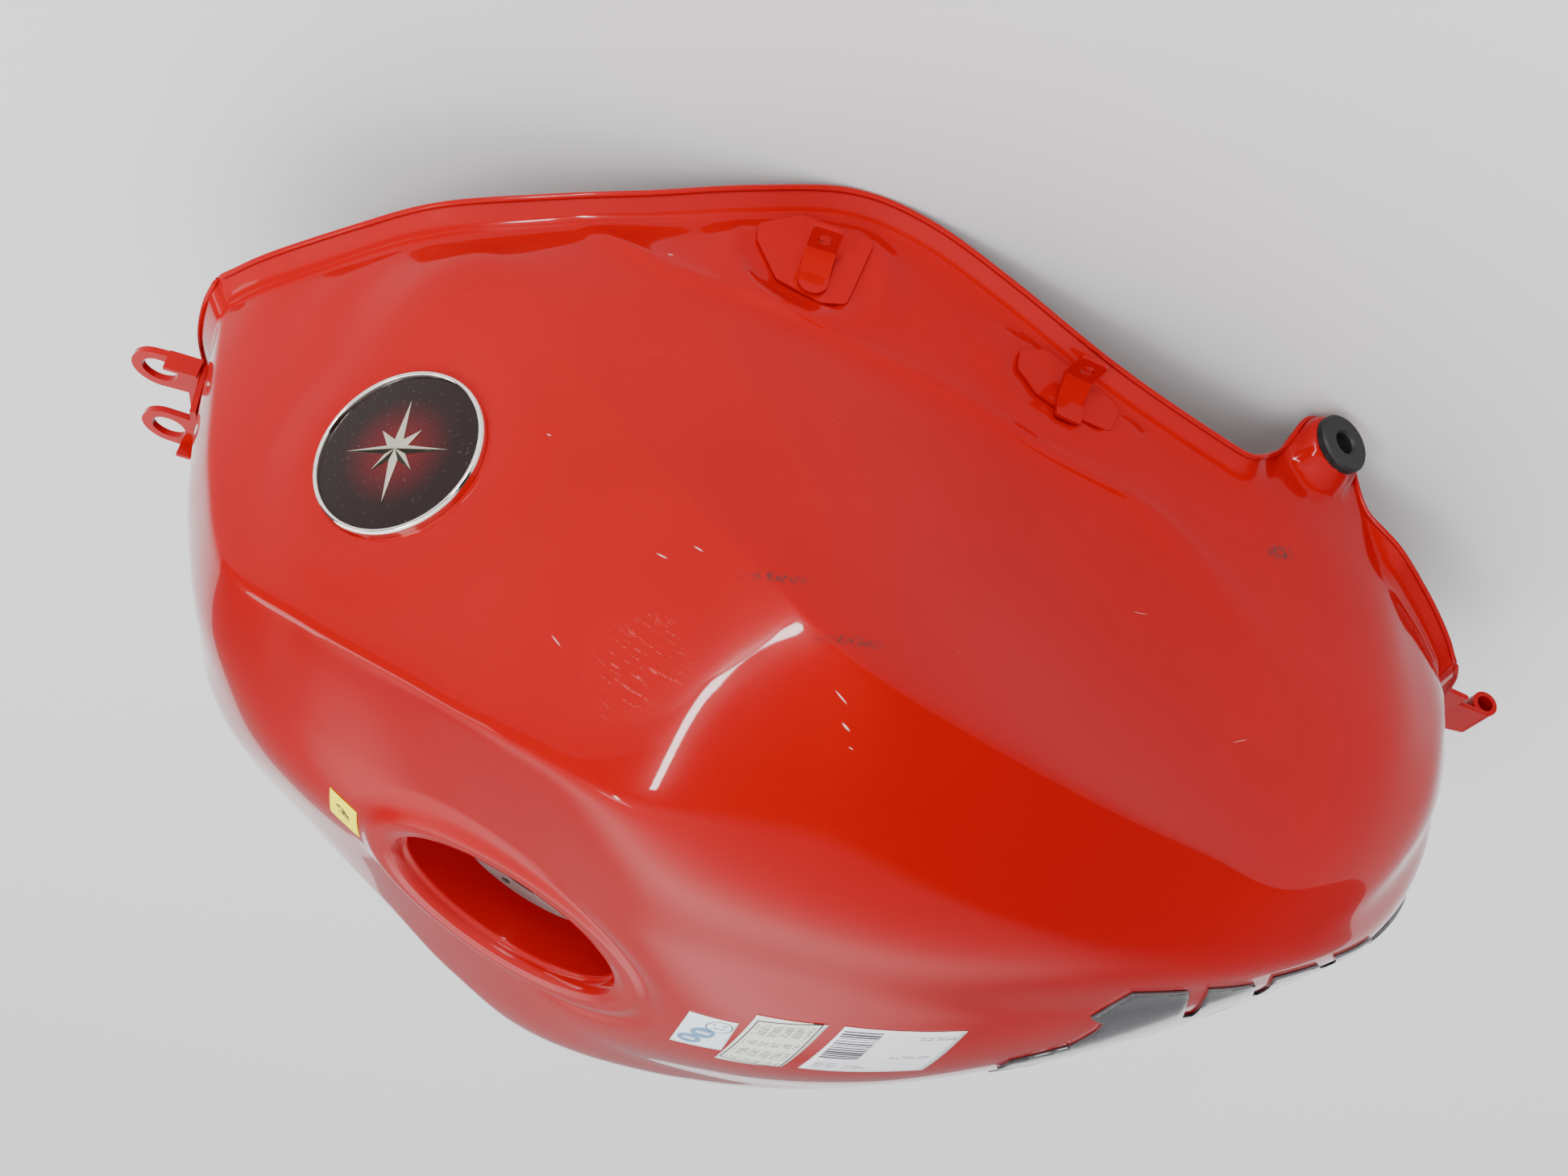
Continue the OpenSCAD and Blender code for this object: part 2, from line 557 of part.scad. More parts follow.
module pump_holder() {
    color(black) translate([pump_x, 0, pump_base_z]) difference() {
        union() {
            cylinder(r = 21, h = 8);
            translate([0, 0, 40]) cylinder(r = 21, h = 8);
            for (a = [0, 180]) rotate([0, 0, a]) translate([18, -4, 0]) cube([3, 8, 44]);
        }
        translate([0, 0, -1]) cylinder(r = 18, h = 60);
    }
}
module pump_strainer() {
    color("white") translate([pump_x, 27, pump_base_z + 5]) scale(1) hull() {
        translate([-10, 0, 0]) cylinder(r = 5.5, h = 7);
        translate([10, 0, 0]) cylinder(r = 5.5, h = 7);
    }
}
outlet_x = pump_x + 24;
outlet_r = 4;
module fuel_outlet() {
    color(black) translate([outlet_x, 0, plate_z]) difference() {
        union() {
            translate([0, 0, -4]) cylinder(r = 7, h = 4);
            translate([0, 0, -30]) cylinder(r = outlet_r, h = 27);
        }
        translate([0, 0, -31]) cylinder(r = 2.5, h = 40);
    }
}
module pump_connector() {
    color(black) translate([pump_x - 24, -8, plate_z - 10]) difference() {
        cube([20, 16, 10]);
        translate([2, 2, -1]) cube([16, 12, 8]);
    }
}

// Float gauge: the arm turns on a pin through the sender's block.
pivot = [pump_x + 4, -27, pump_base_z + 44];
arm_len = 60;
arm_dip = 24;
pin_r = 2;
arm_r = 1.5;
module level_sender() {
    color(black) difference() {
        union() {
            translate([pivot[0] - 7, pivot[1] - 3, pump_base_z]) cube([14, 5.4, 52]);
            translate([pivot[0], pivot[1] - 3, pivot[2]]) rotate([90, 0, 0]) cylinder(r = pin_r, h = 4);
        }
        translate([pivot[0] - 4, pivot[1] - 5, pump_base_z + 4]) cube([8, 3.4, 26]);
    }
}
module float_arm() {
    color(steel) translate([pivot[0], pivot[1] - 4, pivot[2]]) difference() {
        union() {
            translate([0, 0.7, 0]) rotate([90, 0, 0]) cylinder(r = 4.5, h = 2.4);
            rotate([0, -arm_dip, 0]) translate([0, -0.8, 0]) rotate([0, -90, 0]) cylinder(r = arm_r, h = arm_len);
        }
        rotate([90, 0, 0]) translate([0, 0, -5]) cylinder(r = pin_r + 0.05, h = 10);
    }
}
module float() {
    at = pivot + [-arm_len * cos(arm_dip), -4.8, -arm_len * sin(arm_dip)];
    color(black) translate(at) rotate([90, 0, 0]) difference() {
        translate([0, 0, -16]) cylinder(r = 9, h = 32);
        rotate([0, 0, arm_dip]) rotate([0, 90, 0]) cylinder(r = arm_r, h = 30);
    }
}

outer_shell();
bottom_pan();
filler_cup();
filler_neck();
drain_pipe();
breather_pipe();
baffle_plate();
front_mount_bracket();
rear_mount_bracket();
front_patch(false);  // patch_front_right
front_patch(true);  // patch_front_left
rear_patch(false);  // patch_rear_right
rear_patch(true);  // patch_rear_left
front_tab(false);  // tab_front_right
front_tab(true);  // tab_front_left
rear_tab(false);  // tab_rear_right
rear_tab(true);  // tab_rear_left
grommet_boss(false);  // grommet_boss_right
grommet_boss(true);  // grommet_boss_left
grommet(false);  // grommet_right
grommet(true);  // grommet_left
emblem_bezel(false);  // emblem_bezel_right
emblem_bezel(true);  // emblem_bezel_left
emblem_dome(false);  // emblem_dome_right
emblem_dome(true);  // emblem_dome_left
tank_pad();
label_front();
label_small();
label_table();
label_stripes();
pump_mount_ring();
pump_gasket();
pump_flange();
pump_nuts();
pump_body();
pump_holder();
pump_strainer();
fuel_outlet();
pump_connector();
level_sender();
float_arm();
float();
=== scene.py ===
"""Looks of the motorcycle fuel tank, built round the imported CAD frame."""
import math

import bpy
import numpy as np
from mathutils import Matrix, Vector
from mathutils.bvhtree import BVHTree
from mathutils.geometry import delaunay_2d_cdt


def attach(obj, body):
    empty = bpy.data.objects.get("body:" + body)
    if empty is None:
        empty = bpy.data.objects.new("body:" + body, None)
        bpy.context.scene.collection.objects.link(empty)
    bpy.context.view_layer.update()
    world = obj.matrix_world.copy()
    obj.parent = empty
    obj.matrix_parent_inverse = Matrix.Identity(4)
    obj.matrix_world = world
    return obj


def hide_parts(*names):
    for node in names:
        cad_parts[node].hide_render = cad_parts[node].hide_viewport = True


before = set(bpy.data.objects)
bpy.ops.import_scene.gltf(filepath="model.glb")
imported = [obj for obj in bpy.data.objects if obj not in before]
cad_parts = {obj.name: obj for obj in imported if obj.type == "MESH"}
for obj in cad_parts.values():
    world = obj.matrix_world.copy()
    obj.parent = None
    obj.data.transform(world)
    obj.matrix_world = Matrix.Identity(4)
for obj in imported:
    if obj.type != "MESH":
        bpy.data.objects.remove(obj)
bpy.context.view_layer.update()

# ---------------------------------------------------------------- the skin's net
# Right half of the skin in millimetres, front to rear: spine, shoulder crease, knee crease, band line and
# foot, the same numbers as in the CAD part. They follow 3-D points that a scratch program worked out from the
# photo, adjusted by hand.
NET = np.array([
    [[295, 0, 88], [289, -66, 93], [288, -68, 91], [287, -69, 89], [286, -70, 87]],
    [[289, 0, 130], [279, -72, 128], [271, -83, 88], [270, -84, 85], [269, -85, 81]],
    [[276, 0, 172], [266, -78, 168], [243, -101, 76], [241, -102, 73], [239, -103, 69]],
    [[251, 0, 216], [245, -87, 207], [215, -119, 70], [212, -120, 66], [210, -121, 61]],
    [[205, 0, 249], [208, -107, 230], [185, -136, 75], [179, -131, 60], [175, -130, 50]],
    [[143, 0, 270], [166, -130, 251], [156, -148, 109], [143, -141, 54], [137, -137, 38]],
    [[88, 0, 289], [127, -151, 270], [121, -160, 148], [104, -148, 63], [99, -143, 24]],
    [[38, 0, 306], [83, -163, 285], [71, -180, 196], [67, -148, 70], [61, -145, 11]],
    [[-7, 0, 311], [28, -160, 282], [32, -184, 222], [33, -146, 75], [28, -144, 13]],
    [[-57, 0, 302], [-17, -148, 280], [-12, -170, 227], [-5, -141, 83], [-11, -138, 24]],
    [[-107, 0, 284], [-67, -128, 273], [-73, -143, 227], [-57, -130, 88], [-63, -129, 42]],
    [[-157, 0, 260], [-119, -104, 258], [-124, -118, 224], [-109, -120, 86], [-115, -119, 53]],
    [[-212, 0, 228], [-172, -78, 238], [-173, -93, 220], [-161, -108, 84], [-164, -109, 59]],
    [[-262, 0, 192], [-222, -58, 208], [-222, -72, 190], [-212, -92, 90], [-209, -92, 56]],
    [[-284, 0, 155], [-259, -48, 160], [-257, -60, 150], [-239, -76, 80], [-235, -76, 62]],
    [[-287, 0, 115], [-275, -42, 115], [-270, -52, 110], [-261, -60, 80], [-257, -60, 72]],
    [[-283, 0, 75], [-279, -30, 76], [-275, -40, 77], [-271, -46, 78], [-267, -50, 78]],
], float)
LAST = len(NET) - 1
TOP_CROWN = [3, 4, 4, 4, 2, 1, 1, 3, 6, 7, 6, 5, 5, 5, 4, 3, 2]
SIDE_CROWN = [0, 0, 1, 2, 3, 3, 3, 2, 0, 0, 0, 0, 0, 1, 1, 1, 0]
KNEE_CROWN = [0, 0, 0, 0, 0, 1, 2, 2, 0, -2, -2, 0, 4, 6, 4, 2, 0]
SHOULDER_EDGE = [1, 1, 1, 1, 1, 1, 1, 0.7, 0, 0, 0, 0, 0, 0, 0, 0, 0]
KNEE_EDGE = [0, 0, 0, 0, 0.4, 0.8, 1, 1, 1, 0.8, 0.9, 1, 1, 0.5, 0, 0, 0]
BAND_EDGE = [0, 0, 0, 0, 0.6, 1, 1, 1, 1, 1, 0.7, 0.3, 0, 0, 0, 0, 0]
# Underside pan: foot of the tunnel's wall, its top, and the middle of the roof.
PAN = np.array([
    [[288, -66, 92], [292, -34, 90], [294, 0, 88]],
    [[269, -72, 86], [272, -50, 100], [274, 0, 104]],
    [[239, -90, 76], [239, -68, 124], [240, 0, 128]],
    [[210, -108, 68], [210, -84, 142], [210, 0, 147]],
    [[175, -117, 58], [175, -92, 152], [175, 0, 157]],
    [[137, -124, 46], [137, -97, 155], [137, 0, 160]],
    [[99, -130, 32], [99, -100, 156], [99, 0, 161]],
    [[61, -132, 19], [61, -101, 154], [61, 0, 159]],
    [[28, -131, 21], [28, -98, 148], [28, 0, 153]],
    [[-11, -125, 32], [-11, -92, 136], [-11, 0, 140]],
    [[-63, -116, 49], [-63, -84, 112], [-63, 0, 114]],
    [[-109, -106, 60], [-109, -76, 96], [-109, 0, 96]],
    [[-164, -96, 65], [-164, -74, 96], [-164, 0, 96]],
    [[-211, -80, 62], [-211, -64, 96], [-211, 0, 96]],
    [[-235, -66, 68], [-235, -50, 86], [-236, 0, 88]],
    [[-257, -52, 74], [-260, -34, 80], [-262, 0, 80]],
    [[-273, -42, 77], [-280, -25, 76], [-282, 0, 75]],
], float)
MM = 0.001
SHEET = 1.0
FLANGE = 8.0
DROP = 8.4
FILLER = np.array([113.0, 0.0, 280.0])
PITCH = math.radians(18)
FILLER_UP = np.array([math.sin(PITCH), 0, math.cos(PITCH)])
FILLER_FORE = np.array([math.cos(PITCH), 0, -math.sin(PITCH)])
CUP_R = 52.0
FRONT_HALF, REAR_HALF = 70.0, 50.0
GROMMET_HOLE = 9.2
PUMP_OPENING = 40.0
MIRROR = np.array([1.0, -1.0, 1.0])
EMBLEM = np.array([195.2, -125.4, 164.0])


def unit(v):
    """Vectors of length one in the same directions."""
    return v / (np.linalg.norm(v, axis=-1, keepdims=True) + 1e-12)


EMBLEM_UP = unit(np.array([0.51, -0.86, 0.09]))


def smooth(a, b, x):
    """0 at a and 1 at b, easing in and out."""
    f = np.clip((np.asarray(x, float) - a) / (b - a), 0, 1)
    return f * f * (3 - 2 * f)


def along(p, t):
    """Smooth curve through the rows of p, at station t."""
    p = np.asarray(p, float)
    i = min(int(t), len(p) - 2)
    f = t - i
    before = p[i - 1] if i else 2 * p[i] - p[i + 1]
    after = p[i + 2] if i + 2 < len(p) else 2 * p[i + 1] - p[i]
    return hermite(p[i], p[i + 1], (p[i + 1] - before) / 2, (after - p[i]) / 2, f)


def hermite(a, b, ta, tb, f):
    """Cubic from a to b with end slopes ta and tb, at fraction f."""
    return ((2 * f**3 - 3 * f**2 + 1) * a + (f**3 - 2 * f**2 + f) * ta
            + (3 * f**2 - 2 * f**3) * b + (f**3 - f**2) * tb)


def section(t, steps):
    """Right half of a cross-section, spine to foot; steps are the fractions used in each of its spans."""
    rows = [along(NET[:, k], t) for k in range(5)]
    run = [along(NET[:, k], min(t + 0.05, LAST)) - along(NET[:, k], max(t - 0.05, 0)) for k in range(5)]

    def middle(k, crown):
        chord = rows[k + 1] - rows[k]
        out = unit(np.cross(unit(run[k] + run[k + 1]), chord))
        return (rows[k] + rows[k + 1]) / 2 + along(crown, t) * out

    p = [rows[0], middle(0, TOP_CROWN), rows[1], middle(1, SIDE_CROWN),
         rows[2], middle(2, KNEE_CROWN), rows[3], rows[4]]
    edge = [0, 0, along(SHOULDER_EDGE, t), 0, along(KNEE_EDGE, t), 0, along(BAND_EDGE, t), 1]
    n = len(p)
    s = [max(np.linalg.norm(p[i + 1] - p[i]), 1e-6) for i in range(n - 1)]
    d = [(p[i + 1] - p[i]) / s[i] for i in range(n - 1)]
    leave, reach = [], []
    for i in range(n):
        if i == 0:
            g = (p[1] - p[1] * MIRROR) / (2 * s[0])
            leave.append(g)
            reach.append(g)
            continue
        if i == n - 1:
            reach.append(d[-1])
            continue
        even = (d[i - 1] * s[i] + d[i] * s[i - 1]) / (s[i] + s[i - 1])
        out = d[i] - (d[i + 1] - d[i]) * s[i] / (s[i] + s[i + 1]) if i + 2 < n else d[i]
        inn = d[i - 1] + (d[i - 1] - d[i - 2]) * s[i - 1] / (s[i - 1] + s[i - 2]) if i >= 2 else d[i - 1]
        e = min(max(float(edge[i]), 0), 1)
        leave.append(even * (1 - e) + out * e)
        reach.append(even * (1 - e) + inn * e)
    pts = []
    for i in range(n - 1):
        for f in steps:
            pts.append(hermite(p[i], p[i + 1], leave[i] * s[i], reach[i + 1] * s[i], f))
    pts.append(p[-1])
    return np.array(pts)


def lip_vector(angle, out=FLANGE, drop=DROP):
    """How far the flange goes out and down, in a plan direction."""
    return np.array([out * math.cos(angle), out * math.sin(angle), -drop])


def side_angle(t):
    """Which way the skin's foot faces in plan."""
    d = along(NET[:, 4], min(t + 0.05, LAST)) - along(NET[:, 4], max(t - 0.05, 0))
    return math.atan2(d[0], -d[1])


# ---------------------------------------------------------------- mesh helpers
def link(name, verts, faces, mats, smooth_faces=True):
    """A new object from points in millimetres."""
    me = bpy.data.meshes.new(name)
    places = [tuple(v * MM) for v in np.asarray(verts, float)]
    me.from_pydata(places, [], [tuple(int(i) for i in f) for f in faces])
    me.validate()
    me.update()
    ob = bpy.data.objects.new(name, me)
    bpy.context.scene.collection.objects.link(ob)
    for m in mats if isinstance(mats, (list, tuple)) else [mats]:
        me.materials.append(m)
    if smooth_faces:
        me.polygons.foreach_set("use_smooth", [True] * len(me.polygons))
    return ob


def grid_faces(rows, cols, close=False):
    out = []
    for i in range(rows - 1):
        for j in range(cols if close else cols - 1):
            k = (j + 1) % cols
            out.append((i * cols + j, i * cols + k, (i + 1) * cols + k, (i + 1) * cols + j))
    return out


def turned(profile, segments=128, at=(0, 0, 0), up=(0, 0, 1), fore=None):
    """Surface of revolution of (radius, height) pairs about an axis, in millimetres."""
    up = unit(np.array(up, float))
    fore = np.array(fore, float) if fore is not None else np.cross(up, [0.3, 0.9, 0.1])
    fore = unit(fore - up * np.dot(fore, up))
    side = np.cross(up, fore)
    a = np.linspace(0, 2 * math.pi, segments, endpoint=False)
    ring = np.outer(np.cos(a), fore) + np.outer(np.sin(a), side)
    verts = np.concatenate([np.array(at, float) + r * ring + h * up for r, h in profile])
    return verts, grid_faces(len(profile), segments, close=True)


def rounded(points, radius, n=5):
    """A polyline with its inner corners rounded off."""
    p = [np.array(q, float) for q in points]
    out = [p[0]]
    for a, b, c in zip(p, p[1:], p[2:]):
        r = min(radius, np.linalg.norm(a - b) * 0.49, np.linalg.norm(c - b) * 0.49)
        u, w = b + unit(a - b) * r, b + unit(c - b) * r
        for k in range(n + 1):
            f = k / n
            out.append((1 - f) ** 2 * u + 2 * f * (1 - f) * b + f * f * w)
    out.append(p[-1])
    return out


def blur(line, sigma):
    """Rounds the corners of a polyline: a Gaussian along its length, with a width for each point."""
    step = np.linalg.norm(np.diff(line, axis=0), axis=1)
    s = np.concatenate([[0], np.cumsum(step)])
    width = np.zeros(len(line))
    width[:-1] += step / 2
    width[1:] += step / 2
    sig = np.minimum(np.asarray(sigma, float), np.minimum(s, s[-1] - s) / 2.5 + 1e-4)
    k = np.exp(-((s[:, None] - s[None, :]) ** 2) / (2 * sig[:, None] ** 2)) * width[None, :]
    k[:, 0] += 1e-12
    k = k / k.sum(1, keepdims=True)
    return k @ line


def tube(path, radius, sides):
    """A round bar along a closed path."""
    path = np.asarray(path, float)
    n = len(path)
    ahead = np.roll(path, -1, 0) - np.roll(path, 1, 0)
    t = unit(ahead)
    up = np.tile([0.0, 0.0, 1.0], (n, 1))
    a = unit(np.cross(t, up))
    b = np.cross(a, t)
    ang = np.linspace(0, 2 * math.pi, sides, endpoint=False)
    across = np.cos(ang)[None, :, None] * a[:, None] + np.sin(ang)[None, :, None] * b[:, None]
    rings = path[:, None] + radius * across
    verts = rings.reshape(-1, 3)
    faces = grid_faces(n, sides, close=True)
    for j in range(sides):
        k = (j + 1) % sides
        faces.append(((n - 1) * sides + j, (n - 1) * sides + k, k, j))
    return verts, faces


def thicken(ob, thickness):
    """Gives a sticker or pad its thickness, outwards."""
    body = ob.modifiers.new("sheet", "SOLIDIFY")
    body.thickness = thickness * MM
    body.offset = 1


def soften(ob, width, angle):
    """Rounds off the edges that are sharper than an angle in degrees."""
    edge = ob.modifiers.new("edge", "BEVEL")
    edge.width = width * MM
    edge.segments = 2
    edge.limit_method = "ANGLE"
    edge.angle_limit = math.radians(angle)


def lined_sheet(ob):
    """Gives a surface the thickness of the sheet, inwards, with its second material on the inside."""
    plate = ob.modifiers.new("sheet", "SOLIDIFY")
    plate.thickness = SHEET * MM
    plate.offset = -1
    plate.material_offset = 1
    plate.material_offset_rim = 0


# ---------------------------------------------------------------- materials
# Wear on the right side: place, turn and half sizes in metres, and for scratches their strength. The places
# are a scratch program's: where lines of sight to the real marks met this skin.
SCRATCHES = [
    ((0.0985, -0.170, 0.1985), (0, 0.5, -0.35), (0.0024, 0.004, 0.00030), 0.60),
    ((0.0877, -0.174, 0.1945), (0, 0.6, -0.35), (0.0021, 0.004, 0.00030), 0.52),
    ((0.124, -0.157, 0.233), (0, 0.9, -0.4), (0.0031, 0.004, 0.00024), 0.45),
    ((0.0927, -0.1612, 0.2814), (0, 0.4, -0.3), (0.0015, 0.004, 0.00036), 0.60),
    ((0.032, -0.179, 0.235), (0, 0.55, 0), (0.0034, 0.005, 0.00030), 0.68),
    ((0.028, -0.1755, 0.243), (0, 0.5, 0), (0.0022, 0.005, 0.00048), 0.60),
    ((0.0246, -0.1727, 0.2485), (0, 0.2, 0), (0.0010, 0.005, 0.00024), 0.52),
    ((0.1235, -0.145, 0.0564), (0, -0.1, 0), (0.0014, 0.004, 0.00042), 0.60),
    ((0.1465, -0.1516, 0.1545), (0, 0.2, -0.2), (0.0010, 0.004, 0.00036), 0.45),
    ((-0.0889, -0.126, 0.138), (0, -0.3, 0.2), (0.0049, 0.004, 0.00018), 0.26),
    ((-0.1406, -0.1116, 0.172), (0, -0.6, 0.3), (0.0063, 0.004, 0.00018), 0.26)]
HAZE = ((0.0967, -0.1677, 0.238), (0, 0.3, -0.3), (0.022, 0.02, 0.028))
SCUFFS = [((-0.155, -0.110, 0.0793), (0, -0.4, 0.2), (0.013, 0.008, 0.005)),
          ((0.0611, -0.1816, 0.2008), (0, -0.2, 0), (0.016, 0.008, 0.003)),
          ((0.0316, -0.1822, 0.2158), (0, -0.3, 0), (0.020, 0.008, 0.003))]


class Nodes:
    """A material's node tree, with short ways to add to it."""

    def __init__(self, name):
        self.mat = bpy.data.materials.new(name)
        self.mat.use_nodes = True
        self.tree = self.mat.node_tree
        self.tree.nodes.clear()
        self.out = self.tree.nodes.new("ShaderNodeOutputMaterial")
        self.bsdf = self.tree.nodes.new("ShaderNodeBsdfPrincipled")
        self.tree.links.new(self.bsdf.outputs[0], self.out.inputs[0])
        self.coord = self.tree.nodes.new("ShaderNodeTexCoord").outputs["Object"]

    def set(self, **values):
        for key, value in values.items():
            socket = self.bsdf.inputs[key.replace("_", " ")]
            if isinstance(value, bpy.types.NodeSocket):
                self.tree.links.new(value, socket)
            else:
                socket.default_value = value
        return self

    def put(self, node, socket, value):
        if isinstance(value, bpy.types.NodeSocket):
            self.tree.links.new(value, node.inputs[socket])
        elif value is not None:
            node.inputs[socket].default_value = value

    def math(self, op, a, b=None, c=None):
        n = self.tree.nodes.new("ShaderNodeMath")
        n.operation = op
        for i, v in enumerate((a, b, c)):
            self.put(n, i, v)
        return n.outputs[0]

    def times(self, a, b):
        return self.math("MULTIPLY", a, b)

    def most(self, a, b):
        return self.math("MAXIMUM", a, b)

    def noise(self, scale, detail=3, rough=0.5, vector=None):
        n = self.tree.nodes.new("ShaderNodeTexNoise")
        self.put(n, "Vector", vector or self.coord)
        n.inputs["Scale"].default_value = scale
        n.inputs["Detail"].default_value = detail
        n.inputs["Roughness"].default_value = rough
        return n.outputs["Fac"]

    def ramp(self, fac, lo, hi, a=0.0, b=1.0):
        n = self.tree.nodes.new("ShaderNodeMapRange")
        n.interpolation_type = "SMOOTHSTEP"
        self.put(n, 0, fac)
        for i, v in zip((1, 2, 3, 4), (lo, hi, a, b)):
            n.inputs[i].default_value = v
        return n.outputs[0]

    def mix(self, fac, a, b):
        n = self.tree.nodes.new("ShaderNodeMix")
        n.data_type = "RGBA"
        self.put(n, 0, fac)
        for i, v in ((6, a), (7, b)):
            if isinstance(v, bpy.types.NodeSocket):
                self.tree.links.new(v, n.inputs[i])
            else:
                n.inputs[i].default_value = (*v, 1) if len(v) == 3 else v
        return n.outputs[2]

    def place(self, at, turn=(0, 0, 0), size=(1, 1, 1)):
        """Object coordinates in a frame of their own, in metres: its centre, its angles and its unit."""
        n = self.tree.nodes.new("ShaderNodeMapping")
        n.vector_type = "TEXTURE"
        self.tree.links.new(self.coord, n.inputs[0])
        n.inputs["Location"].default_value = at
        n.inputs["Rotation"].default_value = turn
        n.inputs["Scale"].default_value = size
        return n.outputs[0]

    def split(self, vector):
        n = self.tree.nodes.new("ShaderNodeSeparateXYZ")
        self.tree.links.new(vector, n.inputs[0])
        return n.outputs

    def length(self, vector):
        n = self.tree.nodes.new("ShaderNodeVectorMath")
        n.operation = "LENGTH"
        self.tree.links.new(vector, n.inputs[0])
        return n.outputs["Value"]

    def spot(self, at, turn, size, soft=0.5):
        """1 inside an ellipsoid, fading to 0 at its edge."""
        return self.ramp(self.length(self.place(at, turn, size)), 1.0, soft)

    def bump(self, height, distance, strength=1.0):
        n = self.tree.nodes.new("ShaderNodeBump")
        n.inputs["Distance"].default_value = distance
        n.inputs["Strength"].default_value = strength
        self.put(n, "Height", height)
        return n.outputs[0]


def red_paint():
    """Glossy red enamel with hairlines, a rubbed patch, small chips and scuffs."""
    m = Nodes("red_paint")
    tone = m.ramp(m.noise(5, 3), 0.3, 0.7)
    fleck = m.ramp(m.noise(1600, 2), 0.35, 0.65)
    red = m.mix(tone, (0.255, 0.0003, 0.0016), (0.30, 0.0004, 0.0022))
    red = m.mix(m.times(fleck, 0.06), red, (0.38, 0.003, 0.004))
    wear = None
    for at, turn, size, strength in SCRATCHES:
        mark = m.times(m.spot(at, turn, size, 0.3), strength)
        wear = mark if wear is None else m.most(wear, mark)
    red = m.mix(wear, red, (0.80, 0.62, 0.58))
    haze = m.spot(HAZE[0], HAZE[1], HAZE[2], 0.05)
    hair = m.ramp(m.noise(90, 2, 0.7, m.place((0, 0, 0), (0.4, 0.9, 0.5), (1, 0.05, 1))), 0.56, 0.62)
    haze = m.times(haze, m.times(hair, m.ramp(m.noise(700, 3, 0.7), 0.4, 0.6)))
    red = m.mix(m.times(haze, 0.12), red, (0.85, 0.30, 0.27))
    scuff = None
    for at, turn, size in SCUFFS:
        mark = m.spot(at, turn, size, 0.2)
        scuff = mark if scuff is None else m.most(scuff, mark)
    scuff = m.times(scuff, m.ramp(m.noise(500, 4, 0.7), 0.44, 0.56))
    red = m.mix(m.times(scuff, 0.9), red, (0.06, 0.02, 0.018))
    rough = m.math("MULTIPLY_ADD", m.ramp(m.noise(40, 4, 0.6), 0.4, 0.8), 0.06, 0.22)
    rough = m.math("MULTIPLY_ADD", m.most(haze, scuff), 0.3, rough)
    hairlines = m.ramp(m.noise(120, 1, 0.5, m.place((0, 0, 0), (0.2, 0.5, 0.9), (1, 0.03, 1))), 0.66, 0.7)
    height = m.math("MULTIPLY_ADD", hairlines, -0.35, m.noise(230, 2))
    m.set(Base_Color=red, Roughness=rough, IOR=1.45, Coat_Weight=1.0, Coat_Roughness=0.04, Coat_IOR=1.17,
          Normal=m.bump(height, 0.00002, 0.3))
    m.bsdf.inputs["Specular IOR Level"].default_value = 0.03
    return m.mat


def bare_steel(name, tint):
    m = Nodes(name)
    streak = m.noise(60, 4, 0.6, m.place((0, 0, 0), (0.4, 0.2, 0), (1, 1, 0.06)))
    base = m.mix(m.ramp(m.noise(25, 4), 0.35, 0.7), tint, tuple(c * 0.72 for c in tint))
    rust = m.ramp(m.noise(45, 5, 0.65), 0.62, 0.78)
    base = m.mix(m.times(rust, 0.35), base, (0.25, 0.12, 0.06))
    rough = m.math("MULTIPLY_ADD", streak, 0.3, 0.22)
    m.set(Base_Color=base, Metallic=0.9, Roughness=rough, Normal=m.bump(streak, 0.00005, 0.4))
    return m.mat


def rubber():
    m = Nodes("black_rubber")
    dust = m.ramp(m.noise(160, 4, 0.6), 0.45, 0.75)
    base = m.mix(m.times(dust, 0.2), (0.007, 0.007, 0.008), (0.05, 0.048, 0.045))
    m.set(Base_Color=base, Roughness=m.math("MULTIPLY_ADD", dust, 0.25, 0.48),
          Normal=m.bump(m.noise(700, 3), 0.00008, 0.5))
    m.bsdf.inputs["Specular IOR Level"].default_value = 0.25
    return m.mat


def plastic():
    m = Nodes("black_plastic")
    tint = (0.016, 0.016, 0.018)
    grain = m.noise(1500, 2)
    mottle = m.ramp(m.noise(30, 3), 0.3, 0.7)
    base = m.mix(mottle, tint, tuple(c * 1.5 + 0.004 for c in tint))
    m.set(Base_Color=base, Roughness=m.math("MULTIPLY_ADD", mottle, 0.12, 0.4),
          Normal=m.bump(grain, 0.00004, 0.4))
    return m.mat


def chrome(name="bright_ring", light=(0.82, 0.78, 0.70)):
    m = Nodes(name)
    wear = m.ramp(m.noise(220, 4, 0.6), 0.5, 0.8)
    base = m.mix(wear, light, tuple(c * 0.7 for c in light))
    m.set(Base_Color=base, Metallic=1.0, Roughness=m.math("MULTIPLY_ADD", wear, 0.2, 0.10))
    return m.mat


def zinc_plate():
    m = Nodes("zinc_plate")
    tone = m.ramp(m.noise(70, 4), 0.35, 0.7)
    base = m.mix(tone, (0.56, 0.55, 0.50), (0.44, 0.42, 0.36))
    rough = m.math("MULTIPLY_ADD", m.noise(240, 3), 0.25, 0.2)
    m.set(Base_Color=base, Metallic=0.95, Roughness=rough, Normal=m.bump(m.noise(900, 2), 0.00003, 0.3))
    return m.mat


def filter_cloth():
    m = Nodes("filter_cloth")
    threads = m.split(m.place((0, 0, 0), (0, 0, 0.785), (0.0007, 0.0007, 0.0007)))
    weave = m.times(m.math("SINE", threads[0]), m.math("SINE", threads[1]))
    base = m.mix(m.ramp(weave, -0.6, 0.6), (0.50, 0.46, 0.36), (0.72, 0.69, 0.58))
    m.set(Base_Color=base, Roughness=0.85, Normal=m.bump(weave, 0.0001, 0.6))
    return m.mat


